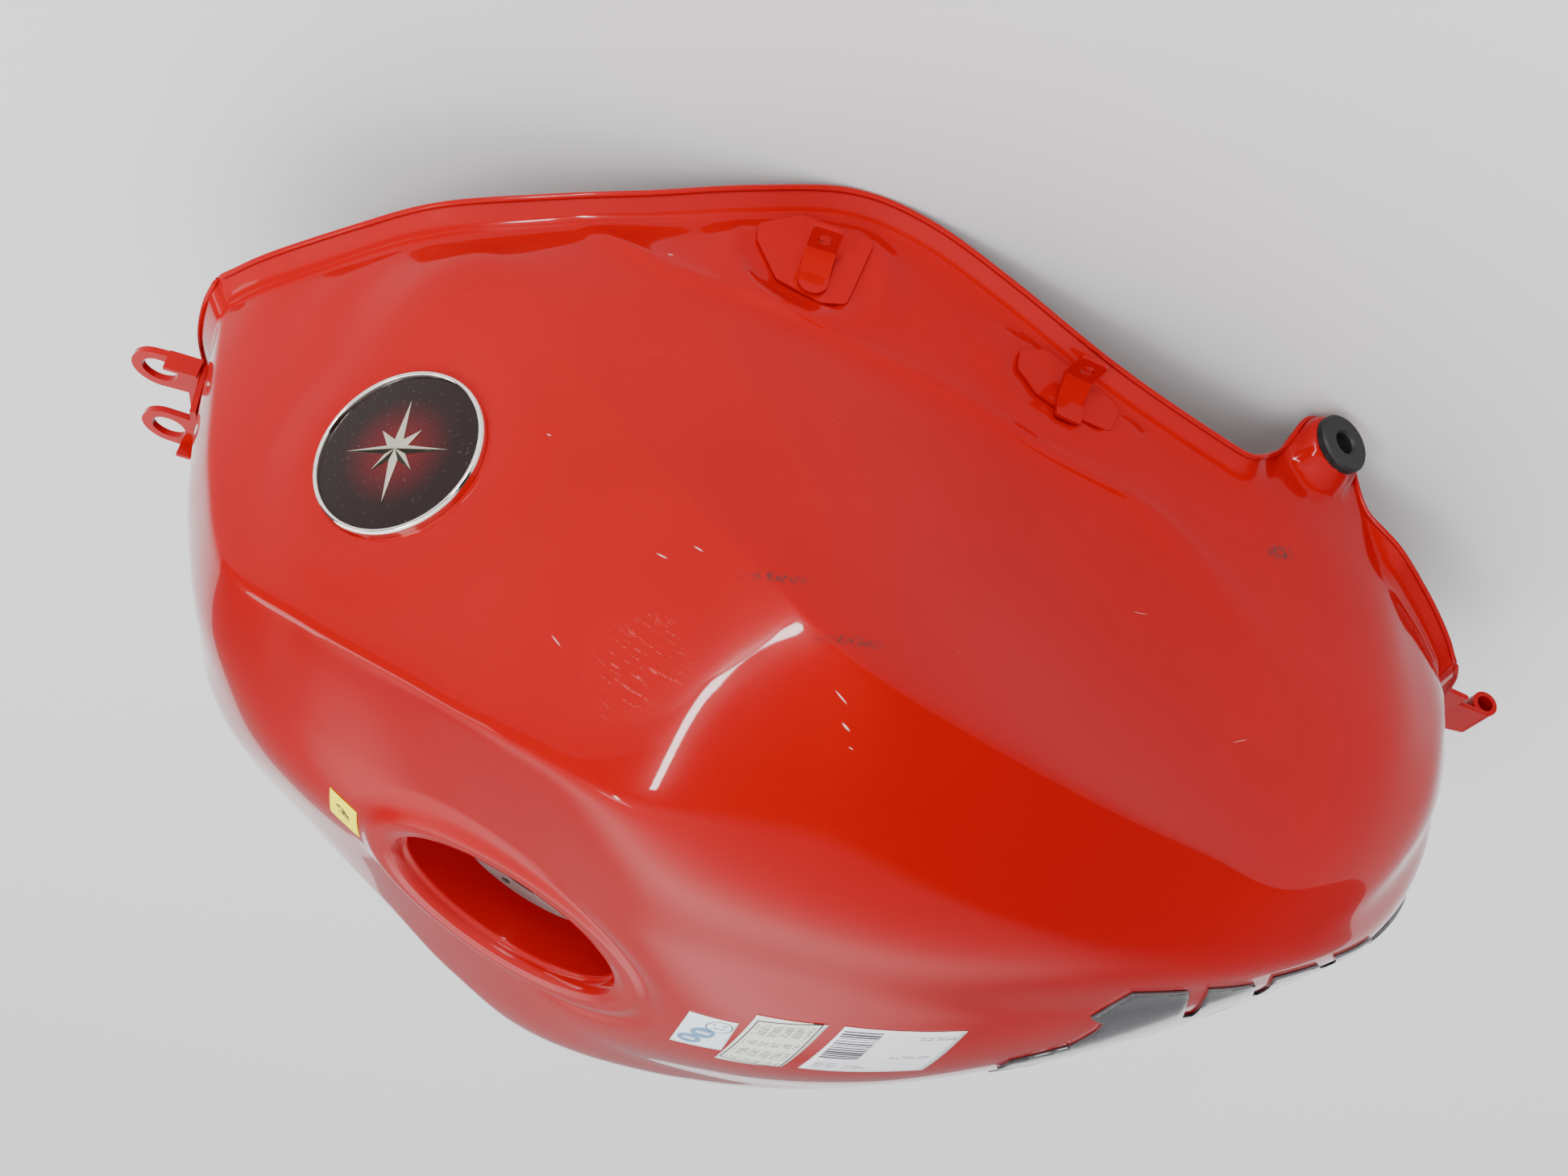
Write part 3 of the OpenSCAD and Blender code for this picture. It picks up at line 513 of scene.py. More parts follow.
def pad_gel():
    m = Nodes("pad_gel")
    haze = m.ramp(m.noise(55, 4, 0.6), 0.4, 0.75)
    base = m.mix(haze, (0.018, 0.018, 0.020), (0.042, 0.043, 0.047))
    rough = m.math("MULTIPLY_ADD", m.ramp(m.noise(300, 3), 0.4, 0.7), 0.12, 0.16)
    m.set(Base_Color=base, Roughness=rough, Coat_Weight=1.0, Coat_Roughness=0.12,
          Normal=m.bump(m.noise(420, 2), 0.00003, 0.4))
    return m.mat


def emblem_enamel(hand):
    """Dark enamel whose middle is painted a lighter red, a painted glow."""
    m = Nodes("emblem_enamel_" + ("right" if hand == 1 else "left"))
    at = EMBLEM * np.array([1, hand, 1]) * MM
    far = m.length(m.place(tuple(at), (0, 0, 0), (0.031, 0.031, 0.031)))
    # Painted glow: the enamel's red is painted lighter towards the middle of the dome, a painted highlight.
    painted_glow = m.ramp(far, 0.80, 0.05)
    base = m.mix(painted_glow, (0.009, 0.003, 0.003), (0.085, 0.003, 0.004))
    dust = m.ramp(m.noise(700, 3, 0.6), 0.6, 0.8)
    base = m.mix(m.times(dust, 0.12), base, (0.4, 0.3, 0.28))
    m.set(Base_Color=base, Roughness=m.math("MULTIPLY_ADD", dust, 0.2, 0.18), Coat_Weight=0.6,
          Coat_Roughness=0.04, Coat_IOR=1.25)
    m.bsdf.inputs["Specular IOR Level"].default_value = 0.1
    return m.mat


# Four corners of each sticker, found in the same way, and a slot name.
LABELS = [
    ("front", [(191, -19, 254), (179, -12, 259), (177, 17, 259), (190, 4, 255)], "yellow_label"),
    ("small", [(36.5, -31, 306), (18.6, -39.5, 308), (16.5, -1, 310), (35, 17, 306.5)], "white_label"),
    ("table", [(15, -53, 307), (-11, -58, 305), (-8, -3, 311), (16, 14, 310)], "white_label"),
    ("stripes", [(-17, -59, 304.5), (-64, -58, 294), (-63, -10, 300), (-14, -6, 310)], "white_label"),
]


def label_frame(m, corners):
    """Coordinates from 0 to 1 along a sticker's two sides, which needn't be square to each other."""
    a, b, c, d = [np.array(q, float) * MM for q in corners]
    x, y = ((b - a) + (c - d)) / 2, ((d - a) + (c - b)) / 2
    origin = (a + b + c + d) / 4 - x / 2 - y / 2
    z = np.cross(x, y)
    out = []
    for side, other in ((x, y), (y, x)):
        reach = np.cross(other, z)
        reach = reach / (reach @ side)
        n = m.tree.nodes.new("ShaderNodeVectorMath")
        n.operation = "DOT_PRODUCT"
        m.tree.links.new(m.coord, n.inputs[0])
        n.inputs[1].default_value = tuple(reach)
        out.append(m.math("SUBTRACT", n.outputs["Value"], float(reach @ origin)))
    return out


def band(m, value, low, high):
    """1 where a value lies between two numbers."""
    return m.times(m.math("GREATER_THAN", value, low), m.math("LESS_THAN", value, high))


def oval(m, u, v, at, size, inner=0.0):
    """1 inside an ellipse, or in a ring of it."""
    du = m.math("DIVIDE", m.math("SUBTRACT", u, at[0]), size[0])
    dv = m.math("DIVIDE", m.math("SUBTRACT", v, at[1]), size[1])
    r = m.math("ADD", m.times(du, du), m.times(dv, dv))
    return band(m, r, inner - 0.001, 1.0)


def box(m, u, v, low, high):
    return m.times(band(m, u, low[0], high[0]), band(m, v, low[1], high[1]))


def strokes(m, u, v, across, rows, dense):
    """Rows of short strokes that stand for small print."""
    row = band(m, m.math("FRACT", m.times(v, rows)), 0.25, 0.72)
    cell = m.noise(1, 0, 0.5, m.place((0.0004, 0, 0), (0, 0, 0.12), (0.0021, 0.0009, 0.01)))
    column = m.math("FRACT", m.times(u, across))
    stroke = m.times(row, m.math("LESS_THAN", column, 0.78))
    return m.times(stroke, m.math("GREATER_THAN", cell, dense))


def label(name, corners, paper, ink):
    m = Nodes("label_" + name)
    u, v = label_frame(m, corners)
    second, tint = None, (0.05, 0.17, 0.33)
    if name == "front":
        marks = m.most(oval(m, u, v, (0.42, 0.42), (0.20, 0.11)), box(m, u, v, (0.5, 0.4), (0.72, 0.62)))
        broken = m.noise(1, 1, 0.5, m.place((0, 0, 0), (0, 0, 0.5), (0.002, 0.004, 1)))
        marks = m.times(marks, m.math("GREATER_THAN", broken, 0.45))
    elif name == "small":
        marks = m.most(oval(m, u, v, (0.70, 0.24), (0.26, 0.17), 0.8),
                       m.times(box(m, u, v, (0.56, 0.16), (0.84, 0.32)), strokes(m, u, v, 16, 9, 0.48)))
        second = m.most(oval(m, u, v, (0.48, 0.50), (0.24, 0.17)),
                        oval(m, u, v, (0.30, 0.78), (0.24, 0.15)))
        pale = m.most(box(m, u, v, (0.34, 0.46), (0.62, 0.54)), box(m, u, v, (0.18, 0.74), (0.42, 0.82)))
        second = m.times(second, m.math("SUBTRACT", 1.0, m.times(pale, 0.8)))
    elif name == "table":
        rim = m.math("SUBTRACT", box(m, u, v, (0.04, 0.03), (0.96, 0.97)),
                     box(m, u, v, (0.065, 0.05), (0.935, 0.95)))
        rows = m.most(m.most(band(m, v, 0.10, 0.30), band(m, v, 0.40, 0.50)),
                      m.most(band(m, v, 0.60, 0.78), band(m, v, 0.85, 0.93)))
        print_ = m.times(m.times(rows, band(m, u, 0.1, 0.9)), strokes(m, u, v, 6, 34, 0.40))
        marks = m.most(rim, print_)
    else:
        bars = m.math("FRACT", m.times(v, 21))
        thin = m.noise(1, 0, 0.5, m.place((0, 0, 0), (0, 0, 0), (0.5, 0.0016, 0.5)))
        code = m.math("LESS_THAN", bars, m.math("MULTIPLY_ADD", thin, 1.3, -0.1))
        code = m.times(code, box(m, u, v, (0.03, 0.04), (0.34, 0.66)))
        text = m.most(box(m, u, v, (0.66, 0.12), (0.96, 0.2)), box(m, u, v, (0.58, 0.55), (0.9, 0.61)))
        for low, high in (((0.05, 0.78), (0.24, 0.92)), ((0.3, 0.8), (0.5, 0.92))):
            text = m.most(text, box(m, u, v, low, high))
        marks = m.most(code, m.times(text, strokes(m, u, v, 30, 26, 0.42)))
    grain = m.ramp(m.noise(300, 3), 0.3, 0.7)
    sheet = m.mix(m.times(grain, 0.5), paper, tuple(c * 0.86 for c in paper))
    if second is not None:
        sheet = m.mix(m.times(second, 0.9), sheet, tint)
    worn = m.times(marks, m.ramp(m.noise(1500, 2), 0.2, 0.4, 0.8, 1.0))
    m.set(Base_Color=m.mix(worn, sheet, ink), Roughness=0.4)
    m.bsdf.inputs["Specular IOR Level"].default_value = 0.15
    return m.mat


# Paper and ink of each sticker.
INKS = {"front": ((0.90, 0.80, 0.0), (0.05, 0.05, 0.02)),
        "small": ((0.66, 0.72, 0.75), (0.05, 0.07, 0.09)),
        "table": ((0.62, 0.62, 0.57), (0.05, 0.05, 0.05)),
        "stripes": ((0.66, 0.66, 0.68), (0.04, 0.04, 0.05))}
label_mats = {name: label(name, corners, *INKS[name]) for name, corners, _ in LABELS}
red = red_paint()
steel = bare_steel("bare_steel", (0.34, 0.33, 0.31))
lining = bare_steel("tank_inside", (0.36, 0.35, 0.33))
zinc = zinc_plate()
gel = pad_gel()
cloth = filter_cloth()
enamel = {1: emblem_enamel(1), -1: emblem_enamel(-1)}
black_rubber = rubber()
black_plastic = plastic()
bright = chrome()
pewter = chrome("badge_metal", (0.50, 0.46, 0.36))

# ---------------------------------------------------------------- the skin
cluster = 0.5 - 0.5 * np.cos(np.linspace(0, math.pi, 13, endpoint=False))
LIP_STEPS = 18
times = np.linspace(0, LAST, LAST * 12 + 1)

# The flange widens into an ear that carries the side grommet. Its outline was adjusted by hand to points
# that a scratch program found on the ear's plane.
EAR_FROM, EAR_TO = 11.3, 13.45
EAR = np.array([
    [-137, 36], [-146, 34], [-152, 29], [-156, 22], [-158, 15], [-161, 9], [-167, 4], [-177, 1.5],
    [-187, 4], [-193, 9], [-196, 16], [-199, 25], [-204, 34], [-213, 41], [-224, 49]], float)
BOSS = np.array([-173.6, -104.5, 19.5])
BOSS_OUT = np.array([-math.sin(math.radians(18)), -math.cos(math.radians(18)), 0])


def ear_line(t, foot):
    """Points from the foot of the skin down to the ear's outline, with the cup of the boss pressed out."""
    u = (t - EAR_FROM) / (EAR_TO - EAR_FROM)
    x, z = along(EAR, u * (len(EAR) - 1))
    flare = 8.0 * (1 - smooth(0, 0.16, u) * smooth(1, 0.84, u))
    y = BOSS[1] - (x - BOSS[0]) * BOSS_OUT[0] / BOSS_OUT[1] - flare
    start = foot + lip_vector(side_angle(t))
    finish = np.array([x, y, z])
    edge = 1 - smooth(0, 0.12, u) * smooth(1, 0.88, u)
    finish = finish * (1 - edge) + start * edge
    pts = [foot + (finish - foot) * k / LIP_STEPS for k in range(1, LIP_STEPS + 1)]
    out = []
    for p in pts:
        rel = p - BOSS
        d = np.linalg.norm(rel - BOSS_OUT * np.dot(rel, BOSS_OUT))
        out.append(p + BOSS_OUT * 11.8 * (1 - smooth(14.2, 19.0, d)))
    return out


def skin_line(t):
    """Right half of the finished skin and flange at a station, with its creases rounded."""
    pts = section(t, cluster)
    foot = pts[-1]
    if EAR_FROM < t < EAR_TO:
        rest = ear_line(t, foot)
    else:
        v = lip_vector(side_angle(t))
        rest = [foot + v * k / LIP_STEPS for k in range(1, LIP_STEPS + 1)]
    line = np.array(list(pts) + rest)
    n = len(cluster)
    rows = [0, n * 2, n * 4, n * 6, n * 7, len(line) - 1]
    sig = np.interp(np.arange(len(line)), rows, [3, 2.6, 2.2, 2.2, 5.0, 1.2])
    full = np.concatenate([(line * MIRROR)[:0:-1], line])
    both = np.concatenate([sig[:0:-1], sig])
    return blur(full, both)[len(line) - 1:]


PATCHES = [((68, -148, 38), 1, (2, 1), (27, 22)), ((-46, -134, 49), -11, (1, 1), (28, 15))]
SKIN = len(cluster) * 7 + 1
# The pressed ridge above the patches, which fades out behind the rear one: x and z, a scratch program's
# numbers rounded to millimetres, and how far the side is turned there in degrees.
RIDGE = np.array([
    [-235, 166, -22], [-178, 138, -19], [-129, 113, -18], [-85, 88, -14], [-40, 85, -11], [-5, 79, -6],
    [26, 76, -3], [66, 70, 1], [122, 65, 6], [165, 45, 9]], float)


def seats(pts):
    """Raises the ridge, and presses a dish with a soft rim round each patch and a seat for the emblem."""
    pts = pts.copy()
    height, turn = (np.interp(pts[:, 0], RIDGE[:, 0], RIDGE[:, k]) for k in (1, 2))
    above = pts[:, 2] - height
    reach = np.where(above > 0, 3.6, 9.0)
    swell = 2.6 * np.exp(-(np.hypot(above, 1.0) - 1.0) / reach)
    swell = swell * smooth(-160, -110, pts[:, 0]) * smooth(172, 140, pts[:, 0])
    swell = (swell * (pts[:, 1] < -40))[:, None]
    turn = np.radians(turn)
    pts += swell * np.stack([np.sin(turn), -np.cos(turn), 0 * turn], 1)
    fade = smooth(pts[SKIN - 1, 2] + 1, pts[SKIN - 1, 2] + 9, pts[:, 2])
    for at, yaw, (cx, cz), (rx, rz) in PATCHES:
        a = math.radians(yaw)
        out = np.array([math.sin(a), -math.cos(a), 0])
        rel = pts - np.array(at, float)
        h = rel @ out
        d = np.hypot((rel @ np.array([math.cos(a), math.sin(a), 0]) - cx) / rx, (rel[:, 2] - cz) / rz)
        inside = 1 - smooth(0.98, 1.28, d)
        rim = smooth(1.0, 1.16, d) * (1 - smooth(1.18, 1.7, d))
        pts += (((-0.5 - h) * inside + 2.6 * rim) * fade * (np.abs(h) < 30))[:, None] * out
    rel = pts - EMBLEM
    h = rel @ EMBLEM_UP
    r = np.linalg.norm(rel - h[:, None] * EMBLEM_UP, axis=1)
    seat = (1 - smooth(36.5, 62, r)) * (np.abs(h) < 25)
    groove = smooth(37.5, 35.5, r) * 0.5 * (np.abs(h) < 25)
    return pts + ((0.35 - h) * seat - groove)[:, None] * EMBLEM_UP


lines = [seats(skin_line(t)) for t in times]
width = len(lines[0])


def end_angle(p, front):
    """Which way the flange points at the front or rear edge, turning towards the corner."""
    if front:
        return math.radians(-30 * -p[1] / FRONT_HALF)
    return math.radians(-180 + 30 * -p[1] / REAR_HALF)


def end_lines(line, t, front):
    """The flange beyond the front or rear edge of the skin."""
    foot = line[SKIN - 1]
    def angle(p):
        return end_angle(p, front)

    corner = (side_angle(t) + angle(foot)) / 2
    out = []
    for k in range(1, 9):
        f = k / 8
        pts = [p + f * lip_vector(angle(p)) for p in line[:SKIN]]
        a = side_angle(t) * (1 - f) + corner * f
        tip = foot + lip_vector(a)
        pts += [pts[-1] + (tip - pts[-1]) * j / LIP_STEPS for j in range(1, LIP_STEPS + 1)]
        out.append(np.array(pts))
    return out


front_lines = end_lines(lines[0], 0, True)[::-1]
rear_lines = end_lines(lines[-1], LAST, False)
half = np.array(front_lines + lines + rear_lines)
full = np.concatenate([half[:, ::-1], half[:, 1:] * MIRROR], axis=1)
rows, cols = full.shape[:2]
points = full.reshape(-1, 3).copy()
faces = grid_faces(rows, cols)
side = np.cross(FILLER_UP, FILLER_FORE)
surface = BVHTree.FromPolygons([Vector(p) for p in points], faces)
first = faces[len(faces) // 2 - cols]
facing = np.cross(points[first[1]] - points[first[0]], points[first[2]] - points[first[0]])
middle = points[list(first)].mean(axis=0) - np.array([0, 0, 120.0])
if facing @ middle < 0:
    faces = [f[::-1] for f in faces]

# The filler's opening: the faces near it go, and a triangulated collar joins the skin to a round ring.
rel = points - FILLER
axial = rel @ FILLER_UP
plane = np.stack([rel @ FILLER_FORE, rel @ side], axis=1)
dist = np.linalg.norm(plane, axis=1)
SWAGE = 78.0
TURNS = 180
near = (dist < SWAGE + 2) & (axial > -60) & (points[:, 2] > 200)
keep = [f for f in faces if not any(near[i] for i in f)]
dropped = [f for f in faces if any(near[i] for i in f)]


def edges_of(polygons):
    out = {}
    for f in polygons:
        for a, b in zip(f, f[1:] + f[:1]):
            out[(min(a, b), max(a, b))] = out.get((min(a, b), max(a, b)), 0) + 1
    return out


dropped_edges = edges_of(dropped)
rim_edges = [e for e, count in edges_of(keep).items() if count == 1 and e in dropped_edges]
border = sorted({i for e in rim_edges for i in e})
turn = np.linspace(0, 2 * math.pi, TURNS, endpoint=False)


def skin_height(r, a):
    """Height of the skin over the filler's plane, at a radius and angle about the filler's axis."""
    spot = FILLER + r * (math.cos(a) * FILLER_FORE + math.sin(a) * side) + 60 * FILLER_UP
    hit = surface.ray_cast(Vector(spot), Vector(-FILLER_UP))
    return 60 - hit[3]


def filler_ring(r, heights):
    """Points round the filler's axis, one for each of its turns."""
    return [FILLER + r * (math.cos(a) * FILLER_FORE + math.sin(a) * side) + h * FILLER_UP
            for a, h in zip(turn, heights)]


flat_points = [Vector(plane[i]) for i in border]
flat_points += [Vector((SWAGE * math.cos(a), SWAGE * math.sin(a))) for a in turn]
where = {i: k for k, i in enumerate(border)}
flat_edges = [(where[a], where[b]) for a, b in rim_edges]
flat_edges += [(len(border) + j, len(border) + (j + 1) % TURNS) for j in range(TURNS)]
_, _, collar, origin, _, _ = delaunay_2d_cdt(flat_points, flat_edges, [], 1, 1e-4)
base = len(points)
index = border + list(range(base, base + TURNS))
for tri in collar:
    ids = [origin[k][0] for k in tri]
    centre = sum((flat_points[k] for k in ids), Vector((0, 0))) / 3
    if centre.length > SWAGE:
        keep.append(tuple(index[k] for k in ids))
rings = [filler_ring(SWAGE, [skin_height(SWAGE, a) for a in turn])]
for r in list(np.linspace(SWAGE, 66, 9))[1:] + list(np.linspace(66, CUP_R, 22))[1:]:
    free = [skin_height(max(r, CUP_R + 1), a) for a in turn]
    flatten = 1 - smooth(58, 77, r)
    bead = 2.0 * smooth(68.5, 61, r) * (1 - smooth(57.5, CUP_R - 0.5, r) * 0.55)
    rings.append(filler_ring(r, [h * (1 - flatten) + 0.3 * flatten + bead for h in free]))
top = float(np.mean([(p - FILLER) @ FILLER_UP for p in rings[-1]]))
wall = [(CUP_R, top), (CUP_R - 1.8, -3.4), (CUP_R - 3.6, -4.6), (46.6, -30.0), (45, -31.8), (28, -31.9)]
wall = rounded(wall, 1.7, 5)[1:]
rings += [filler_ring(r, [h] * TURNS) for r, h in wall]
for k in range(len(rings) - 1):
    for j in range(TURNS):
        a, b = base + k * TURNS + j, base + k * TURNS + (j + 1) % TURNS
        keep.append((a, b, b + TURNS, a + TURNS))
points = np.concatenate([points, np.array(rings).reshape(-1, 3)])

# Holes for the side grommets, under their flanges.
for hand in (1, -1):
    flip = np.array([1, hand, 1])
    rel = points * flip - BOSS
    d = np.linalg.norm(rel - (rel @ BOSS_OUT)[:, None] * BOSS_OUT, axis=1)
    hole = (d < 7.6) & (rel @ BOSS_OUT > 5) & (rel @ BOSS_OUT < 20)
    gone = [f for f in keep if any(hole[i] for i in f)]
    keep = [f for f in keep if not any(hole[i] for i in f)]
    rest = {i for f in keep for i in f}
    for i in {i for f in gone for i in f} & rest:
        along_axis = (rel[i] @ BOSS_OUT) * BOSS_OUT
        points[i] = (BOSS + along_axis + unit(rel[i] - along_axis) * GROMMET_HOLE) * flip

used = sorted({i for f in keep for i in f})
new = {i: k for k, i in enumerate(used)}
skin = link("tank_skin", points[used], [[new[i] for i in f] for f in keep], [red, lining])
lined_sheet(skin)
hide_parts("outer_shell", "filler_cup", "grommet_boss_right", "grommet_boss_left")
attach(skin, "tank")


def resample(path, step):
    """Evenly spaced points round a closed path."""
    path = np.concatenate([path, path[:1]])
    s = np.concatenate([[0], np.cumsum(np.linalg.norm(np.diff(path, axis=0), axis=1))])
    at = np.linspace(0, s[-1], max(int(s[-1] / step), 4), endpoint=False)
    return np.stack([np.interp(at, s, path[:, k]) for k in range(3)], axis=1)


# The folded hem along the lip.
lip = half[:, -1]
hem_path = np.concatenate([lip, full[-1, ::-1][1:-1], (lip * MIRROR)[::-1], full[0][1:-1]])
hem_path = resample(hem_path, 2.5)
for _ in range(3):
    hem_path = (np.roll(hem_path, 1, 0) + 2 * hem_path + np.roll(hem_path, -1, 0)) / 4
hem = link("lip_hem", *tube(hem_path, 1.3, 12), red)
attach(hem, "tank")

# ---------------------------------------------------------------- the underside pan
PAN_STEPS = 12


def inward(p):
    """A few millimetres in from the skin."""
    return p + np.array([0, 4.0, -0.5])


def pan_points(t):
    foot = along(NET[:, 4], t)
    in_ear = smooth(EAR_FROM - 0.1, EAR_FROM + 0.35, t) * (1 - smooth(EAR_TO - 0.35, EAR_TO + 0.1, t))
    rim = foot + lip_vector(side_angle(t), FLANGE * (1 - in_ear), DROP) + np.array([0, 1.4 * in_ear, -2.0])
    corners = [rim, inward(foot) - np.array([0, 0, 1.2])]
    corners += [along(PAN[:, k], t) + np.array([0, SHEET if k < 2 else 0, -SHEET]) for k in range(3)]
    line = [corners[0]]
    for a, b in zip(corners, corners[1:]):
        line += [a + (b - a) * (k + 1) / PAN_STEPS for k in range(PAN_STEPS)]
    line = np.array(line)
    whole = np.concatenate([(line * MIRROR), line[::-1][1:]])
    sig = np.interp(np.arange(len(line)), [0, 8, 18, 30, len(line) - 1], [0.1, 0.8, 2.5, 7.0, 7.0])
    return blur(whole, np.concatenate([sig, sig[::-1][1:]]))


def pan_edge(t, front):
    """The pan's flange beyond the front or rear edge."""
    foot = along(NET[:, 4], t)
    wall = [PAN[0 if front else -1][k] for k in range(3)]
    def angle(p):
        return end_angle(p, front)

    corner = (side_angle(t) + angle(foot)) / 2
    drop = np.array([0, 0, 2.0])
    corners = [foot + lip_vector(corner) - drop] + [p + lip_vector(angle(p)) - drop for p in [foot] + wall]
    line = [corners[0]]
    for a, b in zip(corners, corners[1:]):
        line += [a + (b - a) * (k + 1) / PAN_STEPS for k in range(PAN_STEPS)]
    line = np.array(line)
    return np.concatenate([(line * MIRROR), line[::-1][1:]])


pan_lines = [pan_points(t) for t in np.linspace(0, LAST, LAST * 8 + 1)]
ahead, behind = pan_edge(0, True), pan_edge(LAST, False)
pan_lines = [ahead + (pan_lines[0] - ahead) * k / 4 for k in range(4)] + pan_lines
pan_lines += [pan_lines[-1] + (behind - pan_lines[-1]) * k / 4 for k in range(1, 5)]
pan_lines = np.array(pan_lines)
PUMP = np.array([-160.0, 0.0])
pan_spots = pan_lines.reshape(-1, 3)
pan_faces = grid_faces(*pan_lines.shape[:2])
first = pan_faces[len(pan_faces) // 2 + pan_lines.shape[1] // 2]
facing = np.cross(pan_spots[first[1]] - pan_spots[first[0]], pan_spots[first[2]] - pan_spots[first[0]])
if facing[2] > 0:
    pan_faces = [f[::-1] for f in pan_faces]
reach = np.linalg.norm(pan_spots[:, :2] - PUMP, axis=1)
pan_faces = [f for f in pan_faces if not all(reach[i] < PUMP_OPENING for i in f)]
pan = link("underside_pan", pan_spots, pan_faces, [red, lining])
lined_sheet(pan)
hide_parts("bottom_pan")
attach(pan, "tank")


# ---------------------------------------------------------------- emblems
def mirrored(verts, faces, hand):
    verts = np.asarray(verts, float) * np.array([1, hand, 1])
    return verts, faces if hand == 1 else [tuple(f)[::-1] for f in faces]


EMBLEM_FORE = unit(np.cross(np.cross(EMBLEM_UP, [0, 0, 1.0]), EMBLEM_UP))
EMBLEM_SIDE = np.cross(EMBLEM_UP, EMBLEM_FORE)


def dome_height(r):
    return 3.3 - 1.1 * (r / 31.0) ** 2


def emblem_star():
    """An eight-pointed compass star with a ridge along each point, standing on the dome."""
    verts, faces = [], []
    tips = [21.0, 11.5] * 4
    rim = []
    for k, tip in enumerate(tips):
        a = math.radians(45 * k)
        rim.append((tip, a))
        rim.append((4.6, a + math.radians(22.5)))
    for r, a in rim:
        verts.append((r, a, dome_height(r) - 0.2))
    for r, a in rim:
        verts.append((r, a, dome_height(r) + (0.25 if r > 5 else 0.3)))
    verts.append((0, 0, dome_height(0) + 1.2))
    n = len(rim)
    for k in range(n):
        j = (k + 1) % n
        faces += [(k, j, n + j, n + k), (n + k, n + j, 2 * n)]
    faces.append(tuple(range(n))[::-1])
    place = [EMBLEM + r * (math.cos(a) * EMBLEM_FORE + math.sin(a) * EMBLEM_SIDE) + h * EMBLEM_UP
             for r, a, h in verts]
    return place, faces


bezel = rounded([(31.7, 2.2), (32.0, 3.6), (33.2, 3.6), (33.9, 2.4), (33.9, 0.1)], 0.7, 5)
bezel = [(31.7, 0.4)] + list(bezel)
dome = [(r, dome_height(r)) for r in np.linspace(0.05, 31.9, 24)]
for hand, word in ((1, "right"), (-1, "left")):
    for name, profile, mat, slot in (("emblem_ring_" + word, bezel, bright, "bright_ring"),
                                     ("emblem_disc_" + word, dome, enamel[hand], "emblem")):
        ob = link(name, *mirrored(*turned(profile, 128, EMBLEM, EMBLEM_UP, EMBLEM_FORE), hand), mat)
        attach(ob, "tank")
        if "ring" in name:
            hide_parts("emblem_bezel_" + word)
        if "disc" in name:
            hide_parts("emblem_dome_" + word)
    star = link("emblem_star_" + word, *mirrored(*emblem_star(), hand), pewter, smooth_faces=False)
    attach(star, "tank")


# ---------------------------------------------------------------- labels and pad
def sheet_on_skin(name, corners, mat, node):
    """A thin sticker whose four corners are near the skin; it is draped on it."""
    thick, steps = 0.25, 16
    a, b, c, d = [np.array(q, float) for q in corners]
    verts = []
    for i in range(steps + 1):
        for j in range(steps + 1):
            u, v = i / steps, j / steps
            p = (a * (1 - u) + b * u) * (1 - v) + (d * (1 - u) + c * u) * v
            spot, normal, _, _ = surface.find_nearest(Vector(p))
            normal = np.array(normal) * (1 if normal[2] > 0 else -1)
            verts.append(np.array(spot) + normal * 0.12)
    sheet = link(name, verts, grid_faces(steps + 1, steps + 1), mat)
    up = sum((f.normal for f in sheet.data.polygons), Vector())
    if up.z < 0:
        sheet.data.flip_normals()
    thicken(sheet, thick)
    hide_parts(node)
    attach(sheet, "tank")


for name, corners, slot in LABELS:
    sheet_on_skin("sticker_" + name, corners, label_mats[name], "label_" + name)

# The pad's outline down one side, as station and row on the skin; a thin spine joins its barbs. Most of the
# pairs are a scratch program's, turned from millimetres.
PAD = [(9.86, 0), (9.86, 0.1), (10.34, 0.29), (10.52, 0.59), (10.56, 0.77), (10.44, 0.93),
       (10.78, 1.36), (11.28, 1.27), (11.26, 0.40), (11.36, 0.30), (11.46, 1.25), (11.88, 1.07),
       (11.84, 0.44), (11.93, 0.16), (12.06, 1.13), (12.48, 1.07), (12.50, 0.42), (12.58, 0.22),
       (12.66, 1.16), (13.04, 0.96), (12.64, 0.22), (13.26, 0.5), (14.0, 0.03), (14.0, 0)]
STATION, ROW = 48.0, 42.0


def on_pad(t, v):
    """Point and outward normal of the skin at a station and a row."""
    def at(t, v):
        y = abs(v)
        span, f = int(y), y - int(y)
        c = span * len(cluster) + math.acos(1 - 2 * f) / math.pi * len(cluster)
        r = t * 12
        i, j = min(int(r), len(lines) - 2), min(int(c), width - 2)
        fi, fj = r - i, c - j
        p = ((lines[i][j] * (1 - fj) + lines[i][j + 1] * fj) * (1 - fi)
             + (lines[i + 1][j] * (1 - fj) + lines[i + 1][j + 1] * fj) * fi)
        return p * (MIRROR if v < 0 else 1)
    along_t = at(t + 0.06, v) - at(t - 0.06, v)
    along_v = at(t, v + 0.06) - at(t, v - 0.06)
    return at(t, v), unit(np.cross(along_v, along_t))


outline = [(t * STATION, v * ROW) for t, v in PAD[1:-1]]
outline = outline + [(t, -v) for t, v in outline[::-1]]
loop = []
for (a, b), (c, d) in zip(outline, outline[1:] + outline[:1]):
    steps = max(int(math.hypot(c - a, d - b) / 2.0), 1)
    loop += [(a + (c - a) * k / steps, b + (d - b) * k / steps) for k in range(steps)]
inside = [(x, y) for x in np.arange(9.9 * STATION, 14.0 * STATION, 3.0) for y in np.arange(-60, 60.1, 3.0)]
spots = [Vector(p) for p in loop + inside]
loop_edges = [(k, (k + 1) % len(loop)) for k in range(len(loop))]
pts2, _, tris, _, _, _ = delaunay_2d_cdt(spots, loop_edges, [], 1, 1e-3)
pad_verts = []
for q in pts2:
    p, n = on_pad(q.x / STATION, q.y / ROW)
    pad_verts.append(p + n * (0.15 if n[2] > 0 else -0.15))
